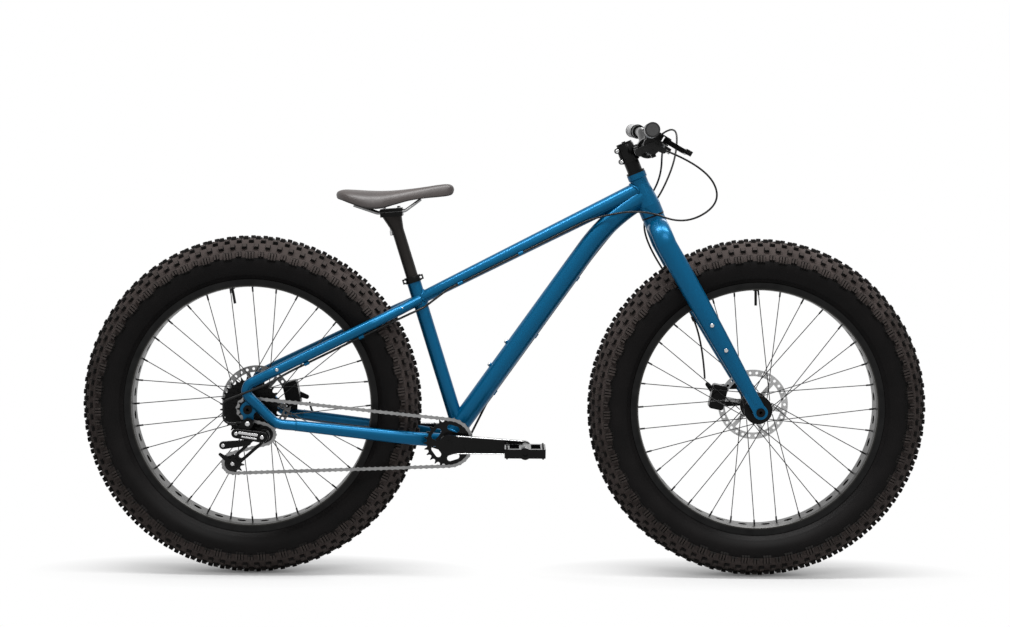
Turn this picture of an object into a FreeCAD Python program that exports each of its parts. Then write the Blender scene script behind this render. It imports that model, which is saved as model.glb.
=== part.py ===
import FreeCAD, Part
import math
import os
import re
import Sketcher
from FreeCAD import Placement, Rotation, Vector

# Fat tyre bicycle. Millimetres and degrees; +X forward, +Y to the rider's left, +Z up;
# the origin lies on the ground half way between the two axles.

SIZES = {
    "whole bicycle": {
        "wheelbase": 1140, "wheel_radius": 381, "chainstay_length": 452, "bracket_drop": 75,
        "head_angle": 67.5, "fork_offset": 55, "fork_length": 493, "seat_angle": 72.65,
        "seat_tube_offset": 28.5, "seat_tube_length": 383, "overrun": 6, "running_gap": 0.05,
        "seat_gap": 0.2, "loose_gap": 0.4,
    },
    "head tube and headset": {
        "head_length": 101, "head_lower_dia": 52, "head_waist_dia": 39, "head_upper_dia": 43,
        "head_lower_land": 24, "head_waist_low": 74, "head_waist_high": 87, "head_collar": 12,
        "head_lower_bore": 44, "head_upper_bore": 34, "head_waist_bore": 33, "cup_depth": 12,
        "lower_flange": 3.5, "upper_flange": 5, "cup_edge": 0.5,
    },
    "main tubes": {
        "tube_wall": 2, "top_tube_seat_drop": 52, "top_tube_head_drop": 35,
        "top_tube_seat_height": 27, "top_tube_head_height": 37, "top_tube_seat_width": 28,
        "top_tube_head_width": 38, "down_tube_dia": 45.4, "down_tube_angle": 54.6,
        "down_tube_end_angle": 35, "down_tube_bend": 420, "down_tube_head_rise": 47,
        "seat_tube_dia": 31.8, "post_dia": 27.2, "seat_slit_width": 2, "seat_slit_depth": 36,
        "boss_radius": 5, "boss_stand": 3, "boss_spacing": 64, "boss_low": 190, "boss_hole": 5,
        "boss_hole_depth": 9,
    },
    "bottom bracket": {
        "shell_width": 100, "shell_dia": 44, "shell_bore": 37, "bracket_cup_out": 11,
        "bracket_cup_in": 12, "spindle_dia": 24,
    },
    "chainstays": {
        "stay_dia": 23, "stay_tall": 31, "stay_slim": 17, "stay_root_x": 20, "stay_root_y": 40,
        "stay_root_rise": -2, "stay_first_x": 66, "stay_first_y": 61, "stay_second_x": 130,
        "stay_second_y": 73, "stay_weld_x": 105, "stay_weld_y": 97, "stay_weld_fall": 36,
        "stay_bend": 120,
    },
    "seatstays": {
        "seatstay_root_fall": 53, "seatstay_root_y": 12, "seatstay_first_x": 332,
        "seatstay_first_y": 50, "seatstay_second_x": 280, "seatstay_second_y": 78,
        "seatstay_low_x": 52, "seatstay_low_y": 106, "seatstay_low_rise": 82, "hook_x": 16,
        "hook_y": 109, "hook_rise": 48, "hook_bend": 20, "heel_x": 63, "heel_y": 105,
        "heel_fall": 32, "heel_bend": 44, "seatstay_bend": 60,
    },
    "dropouts": {
        "rear_spacing": 197, "dropout_thick": 8, "dropout_eye": 17, "dropout_arm_x": 21,
        "dropout_arm_rise": 21, "dropout_arm_radius": 14, "hanger_x": 2, "hanger_fall": 29,
        "hanger_radius": 10, "hanger_hole": 10,
    },
    "seat collar": {
        "collar_dia": 38, "collar_height": 14, "collar_drop": 2, "collar_ear": 11,
        "collar_ear_width": 13, "collar_ear_reach": 24, "collar_hole": 5.5,
    },
    "axles": {
        "rear_axle_dia": 12, "front_axle_dia": 15, "axle_bore": 7, "axle_head_dia": 20,
        "axle_head": 6, "axle_tail": 4, "front_spacing": 150, "fork_eye_out": 22,
    },
    "wheels": {
        "rim_width": 80, "rim_bed_radius": 268, "rim_edge_radius": 270, "rim_flange_radius": 286,
        "rim_bed": 4, "rim_wall": 3, "rim_shoulder": 12, "rim_ledge": 2, "rim_hole_radius": 10,
        "strip_width": 50, "strip_thick": 1, "valve_radius": 3, "valve_length": 36,
        "valve_nut_radius": 6, "valve_nut": 3, "rear_valve_angle": 100, "front_valve_angle": 91,
        "spoke_count": 32, "spoke_cross": 3, "spoke_radius": 1, "nipple_radius": 2,
        "nipple_length": 12, "spoke_rim_offset": 9, "spoke_circle": 29,
    },
    "tyres": {
        "bead_inner_radius": 275, "bead_top_radius": 288, "bead_half": 36.5, "tyre_half": 58.5,
        "belly_radius": 322, "shoulder_half": 42, "shoulder_radius": 361, "crown_radius": 376,
        "tyre_wall": 3.5, "knob_count": 43, "knob_height": 4.3, "knob_root": 3,
        "shoulder_knob_tilt": 40, "shoulder_knob_width": 15, "centre_knob_tilt": 11.5,
        "centre_knob_width": 20, "long_knob": 15, "short_knob": 11,
    },
    "hubs": {
        "hub_gap": 0.2, "hub_cap_dia": 22, "hub_flange_dia": 64, "hub_shell_dia": 36,
        "hub_flange": 4, "hub_cone": 6, "rotor_seat_dia": 44, "front_right_flange": 25,
        "front_left_flange": 111, "front_rotor_seat": 133, "front_cap": 9, "front_neck_dia": 30,
        "rear_hub_start": 54, "rear_right_flange": 8, "rear_left_flange": 110,
        "rear_rotor_seat": 134, "rear_neck_dia": 42,
    },
    "rotors": {
        "rotor_radius": 80, "rotor_band": 15, "rotor_thick": 1.8, "rotor_centre_radius": 22,
        "rotor_hole_radius": 11.4, "rotor_arm_width": 9, "rotor_arms": 6, "rotor_vent_radius": 3.2,
        "rotor_vents": 30,
    },
    "drive": {
        "pitch": 12.7, "roller_radius": 3.6, "valley_radius": 4.05, "tooth_height": 3.4,
        "tooth_tip": 1.8, "sprocket_thick": 1.6, "ring_teeth": 26, "cog_teeth": 12,
        "jockey_teeth": 11, "chainline": 77, "chain_links": 112, "ring_hole_radius": 15,
        "ring_slot_radius": 6.5, "ring_slot_circle": 34, "ring_slots": 5, "ring_slot_half": 15,
        "cog_pitch": 4.5, "cog_first": 92, "cassette_core_dia": 34, "cassette_end": 98.3,
        "cassette_cap_dia": 20,
    },
    "chain links": {
        "plate_thick": 0.8, "inner_half_gap": 1.2, "plate_gap": 0.1, "plate_end_radius": 4.1,
        "plate_waist": 2.9, "pin_radius": 1.8, "pin_stand": 0.15,
    },
    "crank": {
        "crank_length": 170, "crank_angle": 2, "crank_inner": 93, "crank_thick": 14,
        "crank_boss_radius": 21, "crank_tip_radius": 14.5, "crank_pocket": 3,
        "crank_pocket_root": 11, "crank_pocket_tip": 8, "crank_pocket_start": 44,
        "crank_pocket_end": 128, "pedal_spindle_dia": 11, "pedal_spindle_length": 92,
        "pedal_collar_dia": 17, "pedal_collar": 6, "crank_bolt_radius": 9,
    },
    "pedals": {
        "pedal_long": 90, "pedal_wide": 92, "pedal_thick": 20, "pedal_barrel_dia": 26,
        "pedal_rail": 11, "pedal_end": 12, "pin_height": 4, "pedal_pin_radius": 1.9,
        "pedal_stand": 1, "pedal_edge": 3,
    },
    "derailleur": {
        "upper_jockey_x": 36, "upper_jockey_fall": 57, "jockey_span": 97, "cage_plate": 2,
        "cage_half": 5.2, "cage_upper_radius": 13, "cage_lower_radius": 10, "jockey_thick": 1.6,
        "jockey_bore_radius": 3, "cage_bolt_radius": 5, "cage_bolt": 2.5, "knuckle_out": 22,
        "hanger_knuckle_radius": 12, "cage_knuckle_radius": 14, "link_radius": 6,
        "link_thick": 4, "barrel_radius": 4, "barrel_length": 16, "cage_guess_low": 100,
        "cage_guess_high": 175, "rear_pivot_back": 22, "rear_pivot_fall": 22, "rear_pivot_radius": 9,
        "link_eye_back": 32, "link_eye_fall": 24,
    },
    "fork": {
        "leg_half_spread": 80, "leg_top": 425, "leg_depth_top": 46, "leg_width_top": 30,
        "leg_depth_middle": 43, "leg_depth_low": 28, "leg_width_low": 22, "leg_middle": 215,
        "leg_low": 22, "leg_foot_spread": 87, "eye_radius": 16, "crown_bend": 44,
        "steerer_dia": 28.6, "steerer_lower_dia": 39.6, "steerer_taper_low": 503,
        "steerer_taper_high": 545, "steerer_top": 661, "steerer_bore": 22, "race_dia": 50,
        "cage_boss_low": 160, "cage_boss_spacing": 64, "cage_boss_radius": 6,
        "cage_boss_face": 103, "fork_hole_depth": 14,
    },
    "cockpit": {
        "spacer_dia": 34, "spacer_height": 8, "spacer_count": 3, "stem_clamp_height": 40,
        "stem_clamp_dia": 40, "stem_reach": 44, "stem_bar_fall": 6, "stem_neck_dia": 30,
        "bar_clamp_dia": 31.8, "bar_clamp_width": 44, "bar_boss_dia": 46, "faceplate_gap": 1.5,
        "cap_height": 5, "cap_dia": 36, "bolt_dia": 5, "bolt_head_dia": 8.5, "bolt_head": 5,
        "clamp_lug": 12, "clamp_lug_reach": 27, "clamp_bolt_half": 13, "clamp_slot": 2,
        "bar_width": 736, "bar_dia": 22.2, "bar_rise": 40, "bar_sweep": 12, "bar_flat": 60,
        "bar_rise_start": 56, "bar_rise_end": 140, "bar_bend": 50, "bar_taper": 26,
        "grip_length": 130, "grip_dia": 32, "grip_flange_dia": 34, "grip_flange": 5,
        "grip_cap": 3, "grip_groove": 1.2,
    },
    "brake levers": {
        "lever_place": 212, "lever_band_dia": 31, "lever_band_width": 14, "lever_fall_angle": 31,
        "perch_reach": 40, "perch_radius": 9, "perch_height": 17, "perch_side": 9,
        "lever_pivot_radius": 3, "lever_reach": 84, "lever_knee": 20, "lever_span": 92,
        "lever_tall": 11, "lever_thick": 7, "lever_bend": 14, "lever_eye_radius": 6.5,
        "lever_hook": 7, "lever_gap": 0.4,
    },
    "shifter": {
        "shifter_place": 182.5, "shifter_band_width": 11, "pod_fall": 30, "pod_radius": 19,
        "pod_thick": 20, "pod_forward": 4, "thumb_radius": 7, "thumb_reach": 34, "thumb_thick": 5,
        "thumb_tip_radius": 8, "release_reach": 27, "release_tip_radius": 6, "release_thick": 4,
        "thumb_angle": 205, "release_angle": 335, "shift_gap": 0.4, "shift_pin_radius": 3,
    },
    "calipers": {
        "caliper_long": 56, "caliper_deep": 34, "caliper_half": 17, "caliper_slot": 4.4,
        "caliper_bite": 14, "knob_radius": 13, "knob_thick": 4, "arm_length": 34,
        "arm_root_radius": 8, "arm_tip_radius": 5, "arm_thick": 5, "caliper_corner": 6,
        "rear_caliper_turn": 12, "front_caliper_turn": 168, "arm_gap": 0.4, "arm_pin_radius": 4,
        "mount_lug": 7, "caliper_lug_radius": 6, "caliper_lug_place": 21, "front_arm_angle": 130,
        "rear_arm_angle": -20, "rear_lug_step": 22, "front_lug_up": 24,
    },
    "cables": {
        "cable_radius": 2.5, "cable_bend": 30, "tight_bend": 14, "cable_stand": 3.2,
        "guide_wall": 1.6, "guide_length": 12, "guide_gap": 0.1, "top_run_angle": 30,
        "down_run_angle": 60, "down_run_start": 112, "down_run_end": 495, "seat_pass_y": 25,
        "seat_pass_ahead": 6, "seat_pass_fall": 70, "stay_pass_x": 355, "stay_pass_y": 37,
        "stay_pass_fall": 20, "stay_run_fall": 17, "stay_run_end_x": 100, "hook_pass_x": 40,
        "hook_pass_y": 125, "hook_pass_rise": 57, "tail_x": 52, "tail_y": 122, "tail_rise": 20,
        "under_x": 36, "under_y": 18, "under_fall": 18, "belly_x": 16, "belly_y": 40,
        "belly_fall": 33, "under_stay_fall": 21, "under_stay_start": 92, "under_stay_end": 172,
        "beside_low_x": 140,
        "beside_low_rise": -50, "beside_y": 113, "beside_high_x": 122, "beside_high_rise": -25,
        "arm_approach": 13, "lever_exit": 15, "clip_place": 232,
    },
    "cable loops": {
        "shift_loop_exit_x": 22, "shift_loop_exit_y": 0, "shift_loop_exit_z": -8,
        "shift_loop_fore_x": 115, "shift_loop_fore_y": 21, "shift_loop_fore_z": -42,
        "shift_loop_nose_x": 163, "shift_loop_nose_y": 71, "shift_loop_nose_z": -122,
        "shift_loop_low_x": 85, "shift_loop_low_y": 122, "shift_loop_low_z": -177,
        "shift_loop_back_x": -10, "shift_loop_back_y": 142, "shift_loop_back_z": -142,
        "brake_loop_exit_x": 0, "brake_loop_exit_y": 10, "brake_loop_exit_z": 0,
        "brake_loop_fore_x": 6, "brake_loop_fore_y": 93, "brake_loop_fore_z": -12,
        "brake_loop_nose_x": 14, "brake_loop_nose_y": 181, "brake_loop_nose_z": -79,
        "brake_loop_low_x": -12, "brake_loop_low_y": 251, "brake_loop_low_z": -136,
        "brake_loop_back_x": -89, "brake_loop_back_y": 241, "brake_loop_back_z": -192,
        "front_loop_exit_x": 0, "front_loop_exit_y": -10, "front_loop_exit_z": 0,
        "front_loop_fore_x": 44, "front_loop_fore_y": -72, "front_loop_fore_z": 42,
        "front_loop_nose_x": 46, "front_loop_nose_y": -122, "front_loop_nose_z": -34,
        "crown_fore_x": 34, "crown_fore_y": 58, "crown_fore_z": 522, "crown_top_x": -8,
        "crown_top_y": 67, "crown_top_z": 500, "crown_back_x": -31, "crown_back_y": 74,
        "crown_back_z": 446, "leg_run_x": 4, "leg_run_y": 83, "leg_run_z": 200,
        "loop_bend": 34,
    },
    "saddle": {
        "saddle_length": 264, "saddle_rear": 125, "saddle_half": 72, "saddle_tilt": 5,
        "saddle_thick": 21, "base_thick": 4, "base_inset": 4, "base_level": 26, "rail_radius": 3.5,
        "rail_half": 22, "rail_nose_half": 10, "rail_rear_half": 29, "rail_flat": 31,
        "rail_rear": 82, "rail_nose": 67, "rail_bend": 14, "post_above": 128,
        "post_insert": 130, "post_wall": 2, "post_setback": 9, "post_rail_rise": 25,
        "post_head_fall": 16, "post_head_long": 22, "post_head_half": 17, "clamp_long": 50,
        "clamp_wide": 58,
        "clamp_thick": 10, "clamp_top_thick": 7,
    },
}

OVAL_SHARE = 0.72
SADDLE_SIDE_SHARE = 0.42
SADDLE_STATION_SHARES = (0.0, 0.14, 0.36, 0.58, 0.8, 1.0)
SADDLE_WIDTH_SHARES = (0.74, 0.98, 0.84, 0.42, 0.29, 0.17)
SADDLE_THICK_SHARES = (0.82, 0.97, 0.95, 0.88, 0.8, 0.5)
COGS = (11, 12, 14, 16, 18, 21, 24, 28, 32)

doc = FreeCAD.newDocument("fat_tyre_bicycle")
sheet = doc.addObject("Spreadsheet::Sheet", "sizes")
row = 0
for group, entries in SIZES.items():
    row += 1
    sheet.set("A" + str(row), group)
    for alias, amount in entries.items():
        row += 1
        sheet.set("A" + str(row), alias)
        sheet.set("B" + str(row), str(amount))
        sheet.setAlias("B" + str(row), alias)
doc.recompute()


class Sizes:
    """Every named size, read from the sheet."""

    def __getattr__(self, alias):
        return float(sheet.get(alias))


S = Sizes()
X_AXIS = Vector(1, 0, 0)
Y_AXIS = Vector(0, 1, 0)
Z_AXIS = Vector(0, 0, 1)
ORIGIN = Vector(0, 0, 0)
SIDES = (-1, 1)


def on_sheet(expression):
    """The expression with every alias named as a cell of the sheet."""
    return re.sub(r"[a-z_]+", lambda word: "sizes." + word.group(), expression)


def amount_of(expression):
    """The number that an expression on the sheet comes to."""
    found = sheet.evalExpression(on_sheet(expression))
    return float(getattr(found, "Value", found))


def piece(label, shape):
    """A sub-part whose shape comes from Part's own functions."""
    made = doc.addObject("Part::Feature", label)
    made.Label = label
    made.Shape = shape
    return made


def origin_plane(body, role):
    """The origin plane of a body, found by its role."""
    return [found for found in body.Origin.OriginFeatures if found.Role == role][0]


def bind_place(sketch, geometry, across, up):
    """Tie the start of a line to two expressions on the sheet."""
    for axis, kind, expression in ((-2, "DistanceX", across), (-1, "DistanceY", up)):
        if amount_of(expression) == 0:
            sketch.addConstraint(Sketcher.Constraint("PointOnObject", geometry, 1, axis))
            continue
        made = sketch.addConstraint(
            Sketcher.Constraint(kind, -1, 1, geometry, 1, amount_of(expression)))
        name = kind + "_" + str(geometry)
        sketch.renameConstraint(made, name)
        sketch.setExpression("Constraints." + name, on_sheet(expression))


def turned(label, outline, placement):
    """A lathe-turned body; the outline is a closed ring of (radius, height) expressions."""
    body = doc.addObject("PartDesign::Body", label)
    body.Label = label
    sketch = body.newObject("Sketcher::SketchObject", label + "_outline")
    sketch.AttachmentSupport = [(origin_plane(body, "XZ_Plane"), "")]
    sketch.MapMode = "FlatFace"
    corners = [Vector(amount_of(across), amount_of(up), 0) for across, up in outline]
    for start, end in zip(corners, corners[1:] + corners[:1]):
        sketch.addGeometry(Part.LineSegment(start, end))
    for index in range(len(corners)):
        following = (index + 1) % len(corners)
        sketch.addConstraint(Sketcher.Constraint("Coincident", index, 2, following, 1))
    for index, (across, up) in enumerate(outline):
        bind_place(sketch, index, across, up)
    turn = body.newObject("PartDesign::Revolution", label + "_turned")
    turn.Profile = sketch
    turn.ReferenceAxis = (sketch, ["V_Axis"])
    turn.Angle = 360
    doc.recompute()
    body.Placement = placement
    return body


def circle_sketch(body, name, rings):
    """A sketch on a body's XY plane; each ring is (distance along X, radius) as expressions."""
    sketch = body.newObject("Sketcher::SketchObject", name)
    sketch.AttachmentSupport = [(origin_plane(body, "XY_Plane"), "")]
    sketch.MapMode = "FlatFace"
    for index, (along, radius) in enumerate(rings):
        centre = Vector(amount_of(along), 0, 0)
        sketch.addGeometry(Part.Circle(centre, Z_AXIS, amount_of(radius)))
        if amount_of(along) == 0:
            sketch.addConstraint(Sketcher.Constraint("Coincident", index, 3, -1, 1))
        else:
            sketch.addConstraint(Sketcher.Constraint("PointOnObject", index, 3, -1))
            place = sketch.addConstraint(
                Sketcher.Constraint("DistanceX", -1, 1, index, 3, amount_of(along)))
            sketch.renameConstraint(place, "along_" + str(index))
            sketch.setExpression("Constraints.along_" + str(index), on_sheet(along))
        made = sketch.addConstraint(Sketcher.Constraint("Radius", index, amount_of(radius)))
        sketch.renameConstraint(made, "radius_" + str(index))
        sketch.setExpression("Constraints.radius_" + str(index), on_sheet(radius))
    return sketch


def ring_of(body, name, feature, count_alias):
    """A polar pattern of one feature about the body's Z axis."""
    pattern = body.newObject("PartDesign::PolarPattern", name)
    pattern.Originals = [feature]
    axis = [found for found in body.Origin.OriginFeatures if found.Role == "Z_Axis"][0]
    pattern.Axis = (axis, [""])
    pattern.Angle = 360
    pattern.setExpression("Occurrences", on_sheet(count_alias))
    body.Tip = pattern
    return pattern


def rod(radius, start, end):
    """A round bar between two points."""
    return Part.makeCylinder(radius, (end - start).Length, start, end - start)


def pipe(radius, bore, start, end):
    """A round tube between two points."""
    return rod(radius, start, end).cut(rod(bore, start, end))


def cone_between(first, second, start, end):
    """A round bar that tapers between two points."""
    return Part.makeCone(first, second, (end - start).Length, start, end - start)


def joined(shapes):
    """One solid from shapes that run into each other."""
    fused = shapes[0].fuse(shapes[1:]).removeSplitter()
    return fused.Solids[0] if len(fused.Solids) == 1 else fused


def bent_path(points, bends):
    """Straight runs through the points with a tangent arc at each inner point."""
    edges = []
    start = points[0]
    for before, corner, after, radius in zip(points, points[1:], points[2:], bends):
        arriving = (corner - before).normalize()
        leaving = (after - corner).normalize()
        turn = arriving.getAngle(leaving)
        reach = radius * math.tan(turn / 2)
        arc_start = corner - arriving * reach
        arc_end = corner + leaving * reach
        inward = (leaving - arriving).normalize()
        middle = corner + inward * (radius / math.cos(turn / 2) - radius)
        if (arc_start - start).Length > S.running_gap:
            edges.append(Part.LineSegment(start, arc_start).toShape())
        edges.append(Part.Arc(arc_start, middle, arc_end).toShape())
        start = arc_end
    if (points[-1] - start).Length > S.running_gap:
        edges.append(Part.LineSegment(start, points[-1]).toShape())
    return Part.Wire(edges)


def bent_bar(points, bends, radius):
    """A round bar along a bent path."""
    path = bent_path(points, bends)
    ring = Part.Wire([Part.makeCircle(radius, points[0], points[1] - points[0])])
    return path.makePipeShell([ring], True, False)


def oval_wire(centre, along, across, half_along, half_across):
    """An ellipse about a centre with its two half axes along two directions."""
    long_first = half_along >= half_across
    major = along * half_along if long_first else across * half_across
    minor = across * half_across if long_first else along * -half_along
    ellipse = Part.Ellipse(centre + major, centre + minor, centre)
    return Part.Wire([ellipse.toShape()])


def link_face(start, end, start_radius, end_radius):
    """A flat outline in XZ: two round ends joined by their outer tangents."""
    along = end - start
    angle = math.atan2(along.z, along.x)
    spread = math.acos((start_radius - end_radius) / along.Length)

    def rim(centre, radius, turn):
        return centre + Vector(math.cos(turn), 0, math.sin(turn)) * radius

    high_start = rim(start, start_radius, angle + spread)
    high_end = rim(end, end_radius, angle + spread)
    low_start = rim(start, start_radius, angle - spread)
    low_end = rim(end, end_radius, angle - spread)
    return Part.Face(Part.Wire([
        Part.LineSegment(high_start, high_end).toShape(),
        Part.Arc(high_end, rim(end, end_radius, angle), low_end).toShape(),
        Part.LineSegment(low_end, low_start).toShape(),
        Part.Arc(low_start, rim(start, start_radius, angle + math.pi), high_start).toShape(),
    ]))


def link_plate(start, end, start_radius, end_radius, low, high):
    """A plate with two round ends, between two Y levels."""
    flat_start = Vector(start.x, low, start.z)
    flat_end = Vector(end.x, low, end.z)
    face = link_face(flat_start, flat_end, start_radius, end_radius)
    return face.extrude(Vector(0, high - low, 0))


def across_hole(centre, radius, low, high):
    """A cylinder along Y, for a hole or a pin."""
    return rod(radius, Vector(centre.x, low, centre.z), Vector(centre.x, high, centre.z))


def mirrored(shape):
    """The shape on the other side of the bicycle's middle plane."""
    return shape.mirror(ORIGIN, Y_AXIS)


# Places that the whole bicycle shares

rear_axle = Vector(-S.wheelbase / 2, 0, S.wheel_radius)
front_axle = Vector(S.wheelbase / 2, 0, S.wheel_radius)
stay_run = math.sqrt(S.chainstay_length ** 2 - S.bracket_drop ** 2)
bracket = Vector(rear_axle.x + stay_run, 0, S.wheel_radius - S.bracket_drop)
lean = math.radians(S.head_angle)
steer_up = Vector(-math.cos(lean), 0, math.sin(lean))
steer_forward = Vector(math.sin(lean), 0, math.cos(lean))
steer_foot = front_axle - steer_forward * S.fork_offset
steer_frame = Placement(steer_foot, Rotation(Y_AXIS, S.head_angle - 90))
seat_lean = math.radians(S.seat_angle)
seat_up = Vector(-math.cos(seat_lean), 0, math.sin(seat_lean))
seat_forward = Vector(math.sin(seat_lean), 0, math.cos(seat_lean))
seat_foot = bracket + Vector(S.seat_tube_offset, 0, 0)
seat_top = seat_foot + seat_up * S.seat_tube_length
seat_frame = Placement(seat_foot, Rotation(Y_AXIS, S.seat_angle - 90))


def steer_point(up, forward=0, side=0):
    """A place given along, ahead of and beside the steering axis."""
    return steer_foot + steer_up * up + steer_forward * forward + Vector(0, side, 0)


def axle_frame(centre, level):
    """A placement whose Z runs along the axle from one Y level towards the left."""
    return Placement(Vector(centre.x, level, centre.z), Rotation(X_AXIS, -90))


# Frame: tubes

head_top = steer_point(S.fork_length + S.head_length)
head_outline = [
    ("head_lower_bore/2", "0"), ("head_lower_dia/2", "0"), ("head_lower_dia/2", "head_lower_land"),
    ("head_waist_dia/2", "head_waist_low"), ("head_waist_dia/2", "head_waist_high"),
    ("head_upper_dia/2", "head_length-head_collar"), ("head_upper_dia/2", "head_length"),
    ("head_upper_bore/2", "head_length"), ("head_upper_bore/2", "head_length-cup_depth"),
    ("head_waist_bore/2", "head_length-cup_depth"), ("head_waist_bore/2", "head_waist_low"),
    ("head_lower_bore/2-tube_wall", "cup_depth"), ("head_lower_bore/2", "cup_depth"),
]
head_place = Placement(steer_point(S.fork_length), steer_frame.Rotation)
turned("head_tube", head_outline, head_place)


def turned_fill(outline, placement):
    """The solid that an outline sweeps, filled to its axis, as a mitre for other tubes."""
    corners = [Vector(amount_of(across), 0, amount_of(up)) for across, up in outline]
    heights = [corner.z for corner in corners]
    ring = [Vector(0, 0, min(heights))] + corners + [Vector(0, 0, max(heights))]
    face = Part.Face(Part.makePolygon(ring + ring[:1]))
    filled = face.revolve(ORIGIN, Z_AXIS, 360)
    filled.Placement = placement
    return filled


head_fill = turned_fill(head_outline[1:7], head_place)
shell_fill = across_hole(bracket, S.shell_dia / 2, -S.shell_width, S.shell_width)
seat_fill = rod(S.seat_tube_dia / 2, seat_foot - seat_up * S.overrun, seat_top)

down_end = steer_point(S.fork_length + S.down_tube_head_rise)
low_slope = math.radians(S.down_tube_angle)
high_slope = math.radians(S.down_tube_end_angle)
low_way = Vector(math.cos(low_slope), 0, math.sin(low_slope))
high_way = Vector(math.cos(high_slope), 0, math.sin(high_slope))
rise = down_end - bracket
turn_cross = low_way.x * high_way.z - low_way.z * high_way.x
down_reach = (rise.x * high_way.z - rise.z * high_way.x) / turn_cross
down_corner = bracket + low_way * down_reach
down_points = [bracket, down_corner, down_end]
down_fill = bent_bar(down_points, [S.down_tube_bend], S.down_tube_dia / 2)
down_core = bent_bar(down_points, [S.down_tube_bend], S.down_tube_dia / 2 - S.tube_wall)


def down_place(along, below):
    """A place beside the straight part of the down tube, and the way the tube runs there."""
    beside = Vector(low_way.z, 0, -low_way.x)
    return bracket + low_way * along + beside * below


bosses = []
boss_cuts = []
for step in range(2):
    along = S.boss_low + S.boss_spacing * step
    foot = down_place(along, -S.down_tube_dia / 2 + S.tube_wall)
    face = down_place(along, -S.down_tube_dia / 2 - S.boss_stand)
    floor = face + (foot - face).normalize() * S.boss_hole_depth
    bosses.append(rod(S.boss_radius, floor + (foot - face).normalize() * S.tube_wall, face))
    boss_cuts.append(rod(S.boss_hole / 2, floor, face))
down_tube = down_fill.cut(down_core).fuse(bosses).cut(boss_cuts)
down_tube = down_tube.cut([head_fill, shell_fill])
piece("down_tube", down_tube.Solids[0])

top_seat = seat_top - seat_up * S.top_tube_seat_drop
top_head = head_top - steer_up * S.top_tube_head_drop
top_way = (top_head - top_seat).normalize()
top_rise = Vector(-top_way.z, 0, top_way.x)


def top_section(centre, height, width):
    """One oval section of the top tube."""
    return oval_wire(centre, top_rise, Y_AXIS, height / 2, width / 2)


def top_loft(thinner):
    """The top tube filled, its sections drawn in by the given wall."""
    return Part.makeLoft([
        top_section(top_seat, S.top_tube_seat_height - 2 * thinner,
                    S.top_tube_seat_width - 2 * thinner),
        top_section(top_head, S.top_tube_head_height - 2 * thinner,
                    S.top_tube_head_width - 2 * thinner),
    ], True, True)


top_fill = top_loft(0)
top_tube = top_fill.cut(top_loft(S.tube_wall)).cut([head_fill, seat_fill, down_fill])
piece("top_tube", max(top_tube.Solids, key=lambda solid: solid.Volume))

seat_bore = rod(S.post_dia / 2 + S.running_gap, seat_foot - seat_up * S.overrun,
                seat_top + seat_up * S.overrun)
slit = Part.makeBox(S.seat_tube_dia, S.seat_slit_width, S.seat_slit_depth + S.overrun,
                    Vector(-S.seat_tube_dia, -S.seat_slit_width / 2,
                           S.seat_tube_length - S.seat_slit_depth))
slit.Placement = seat_frame
seat_tube = seat_fill.cut([seat_bore, slit, down_fill, shell_fill])
piece("seat_tube", max(seat_tube.Solids, key=lambda solid: solid.Volume))

turned("bottom_bracket_shell", [
    ("shell_bore/2", "0"), ("shell_dia/2", "0"), ("shell_dia/2", "shell_width"),
    ("shell_bore/2", "shell_width"),
], axle_frame(bracket, -S.shell_width / 2))

# Frame: stays and dropouts


def stay_points(side):
    """The chainstay's path from the bottom bracket shell to its weld with the hook."""
    weld_z = rear_axle.z - S.stay_weld_fall
    root_z = bracket.z + S.stay_root_rise
    weld_x = rear_axle.x + S.stay_weld_x
    slope = (weld_z - root_z) / (weld_x - bracket.x)

    def place(x, y):
        return Vector(x, side * y, root_z + slope * (x - bracket.x))

    return [
        place(bracket.x - S.stay_root_x / 2, S.stay_root_y - S.stay_root_x / 2),
        place(bracket.x - S.stay_first_x, S.stay_first_y),
        place(bracket.x - S.stay_second_x, S.stay_second_y),
        place(weld_x, S.stay_weld_y),
    ]


def tapered_bar(points, bends, first, last):
    """A bar along a bent path whose section goes from one wire to another."""
    maker = Part.BRepOffsetAPI.MakePipeShell(bent_path(points, bends))
    maker.setFrenetMode(False)
    maker.add(first)
    maker.add(last)
    maker.build()
    maker.makeSolid()
    return maker.shape()


def chainstay(side):
    points = stay_points(side)
    start_way = (points[1] - points[0]).normalize()
    start_across = Z_AXIS.cross(start_way).normalize()
    start_rise = start_way.cross(start_across)
    end_way = (points[-1] - points[-2]).normalize()
    end_across = Z_AXIS.cross(end_way).normalize()
    end_rise = end_way.cross(end_across)
    first = oval_wire(points[0], start_rise, start_across, S.stay_tall / 2, S.stay_slim / 2)
    last = oval_wire(points[-1], end_rise, end_across, (S.stay_dia + S.overrun / 6) / 2,
                     S.stay_dia / 2)
    return tapered_bar(points, [S.stay_bend, S.stay_bend], first, last)


def seatstay_points(side):
    """The seatstay's path: down from the seat tube, round over the axle, to the weld."""
    root = seat_top - seat_up * S.seatstay_root_fall
    low_x = rear_axle.x + S.seatstay_low_x
    low_z = rear_axle.z + S.seatstay_low_rise
    slope = (root.z - low_z) / (root.x - low_x)

    def place(x, y):
        return Vector(x, side * y, low_z + slope * (x - low_x))

    weld = stay_points(side)[-1]
    return [
        Vector(root.x, side * S.seatstay_root_y, root.z),
        place(rear_axle.x + S.seatstay_first_x, S.seatstay_first_y),
        place(rear_axle.x + S.seatstay_second_x, S.seatstay_second_y),
        place(low_x, S.seatstay_low_y),
        Vector(rear_axle.x - S.hook_x, side * S.hook_y, rear_axle.z + S.hook_rise),
        Vector(rear_axle.x + S.heel_x, side * S.heel_y, rear_axle.z - S.heel_fall),
        weld,
    ]


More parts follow.
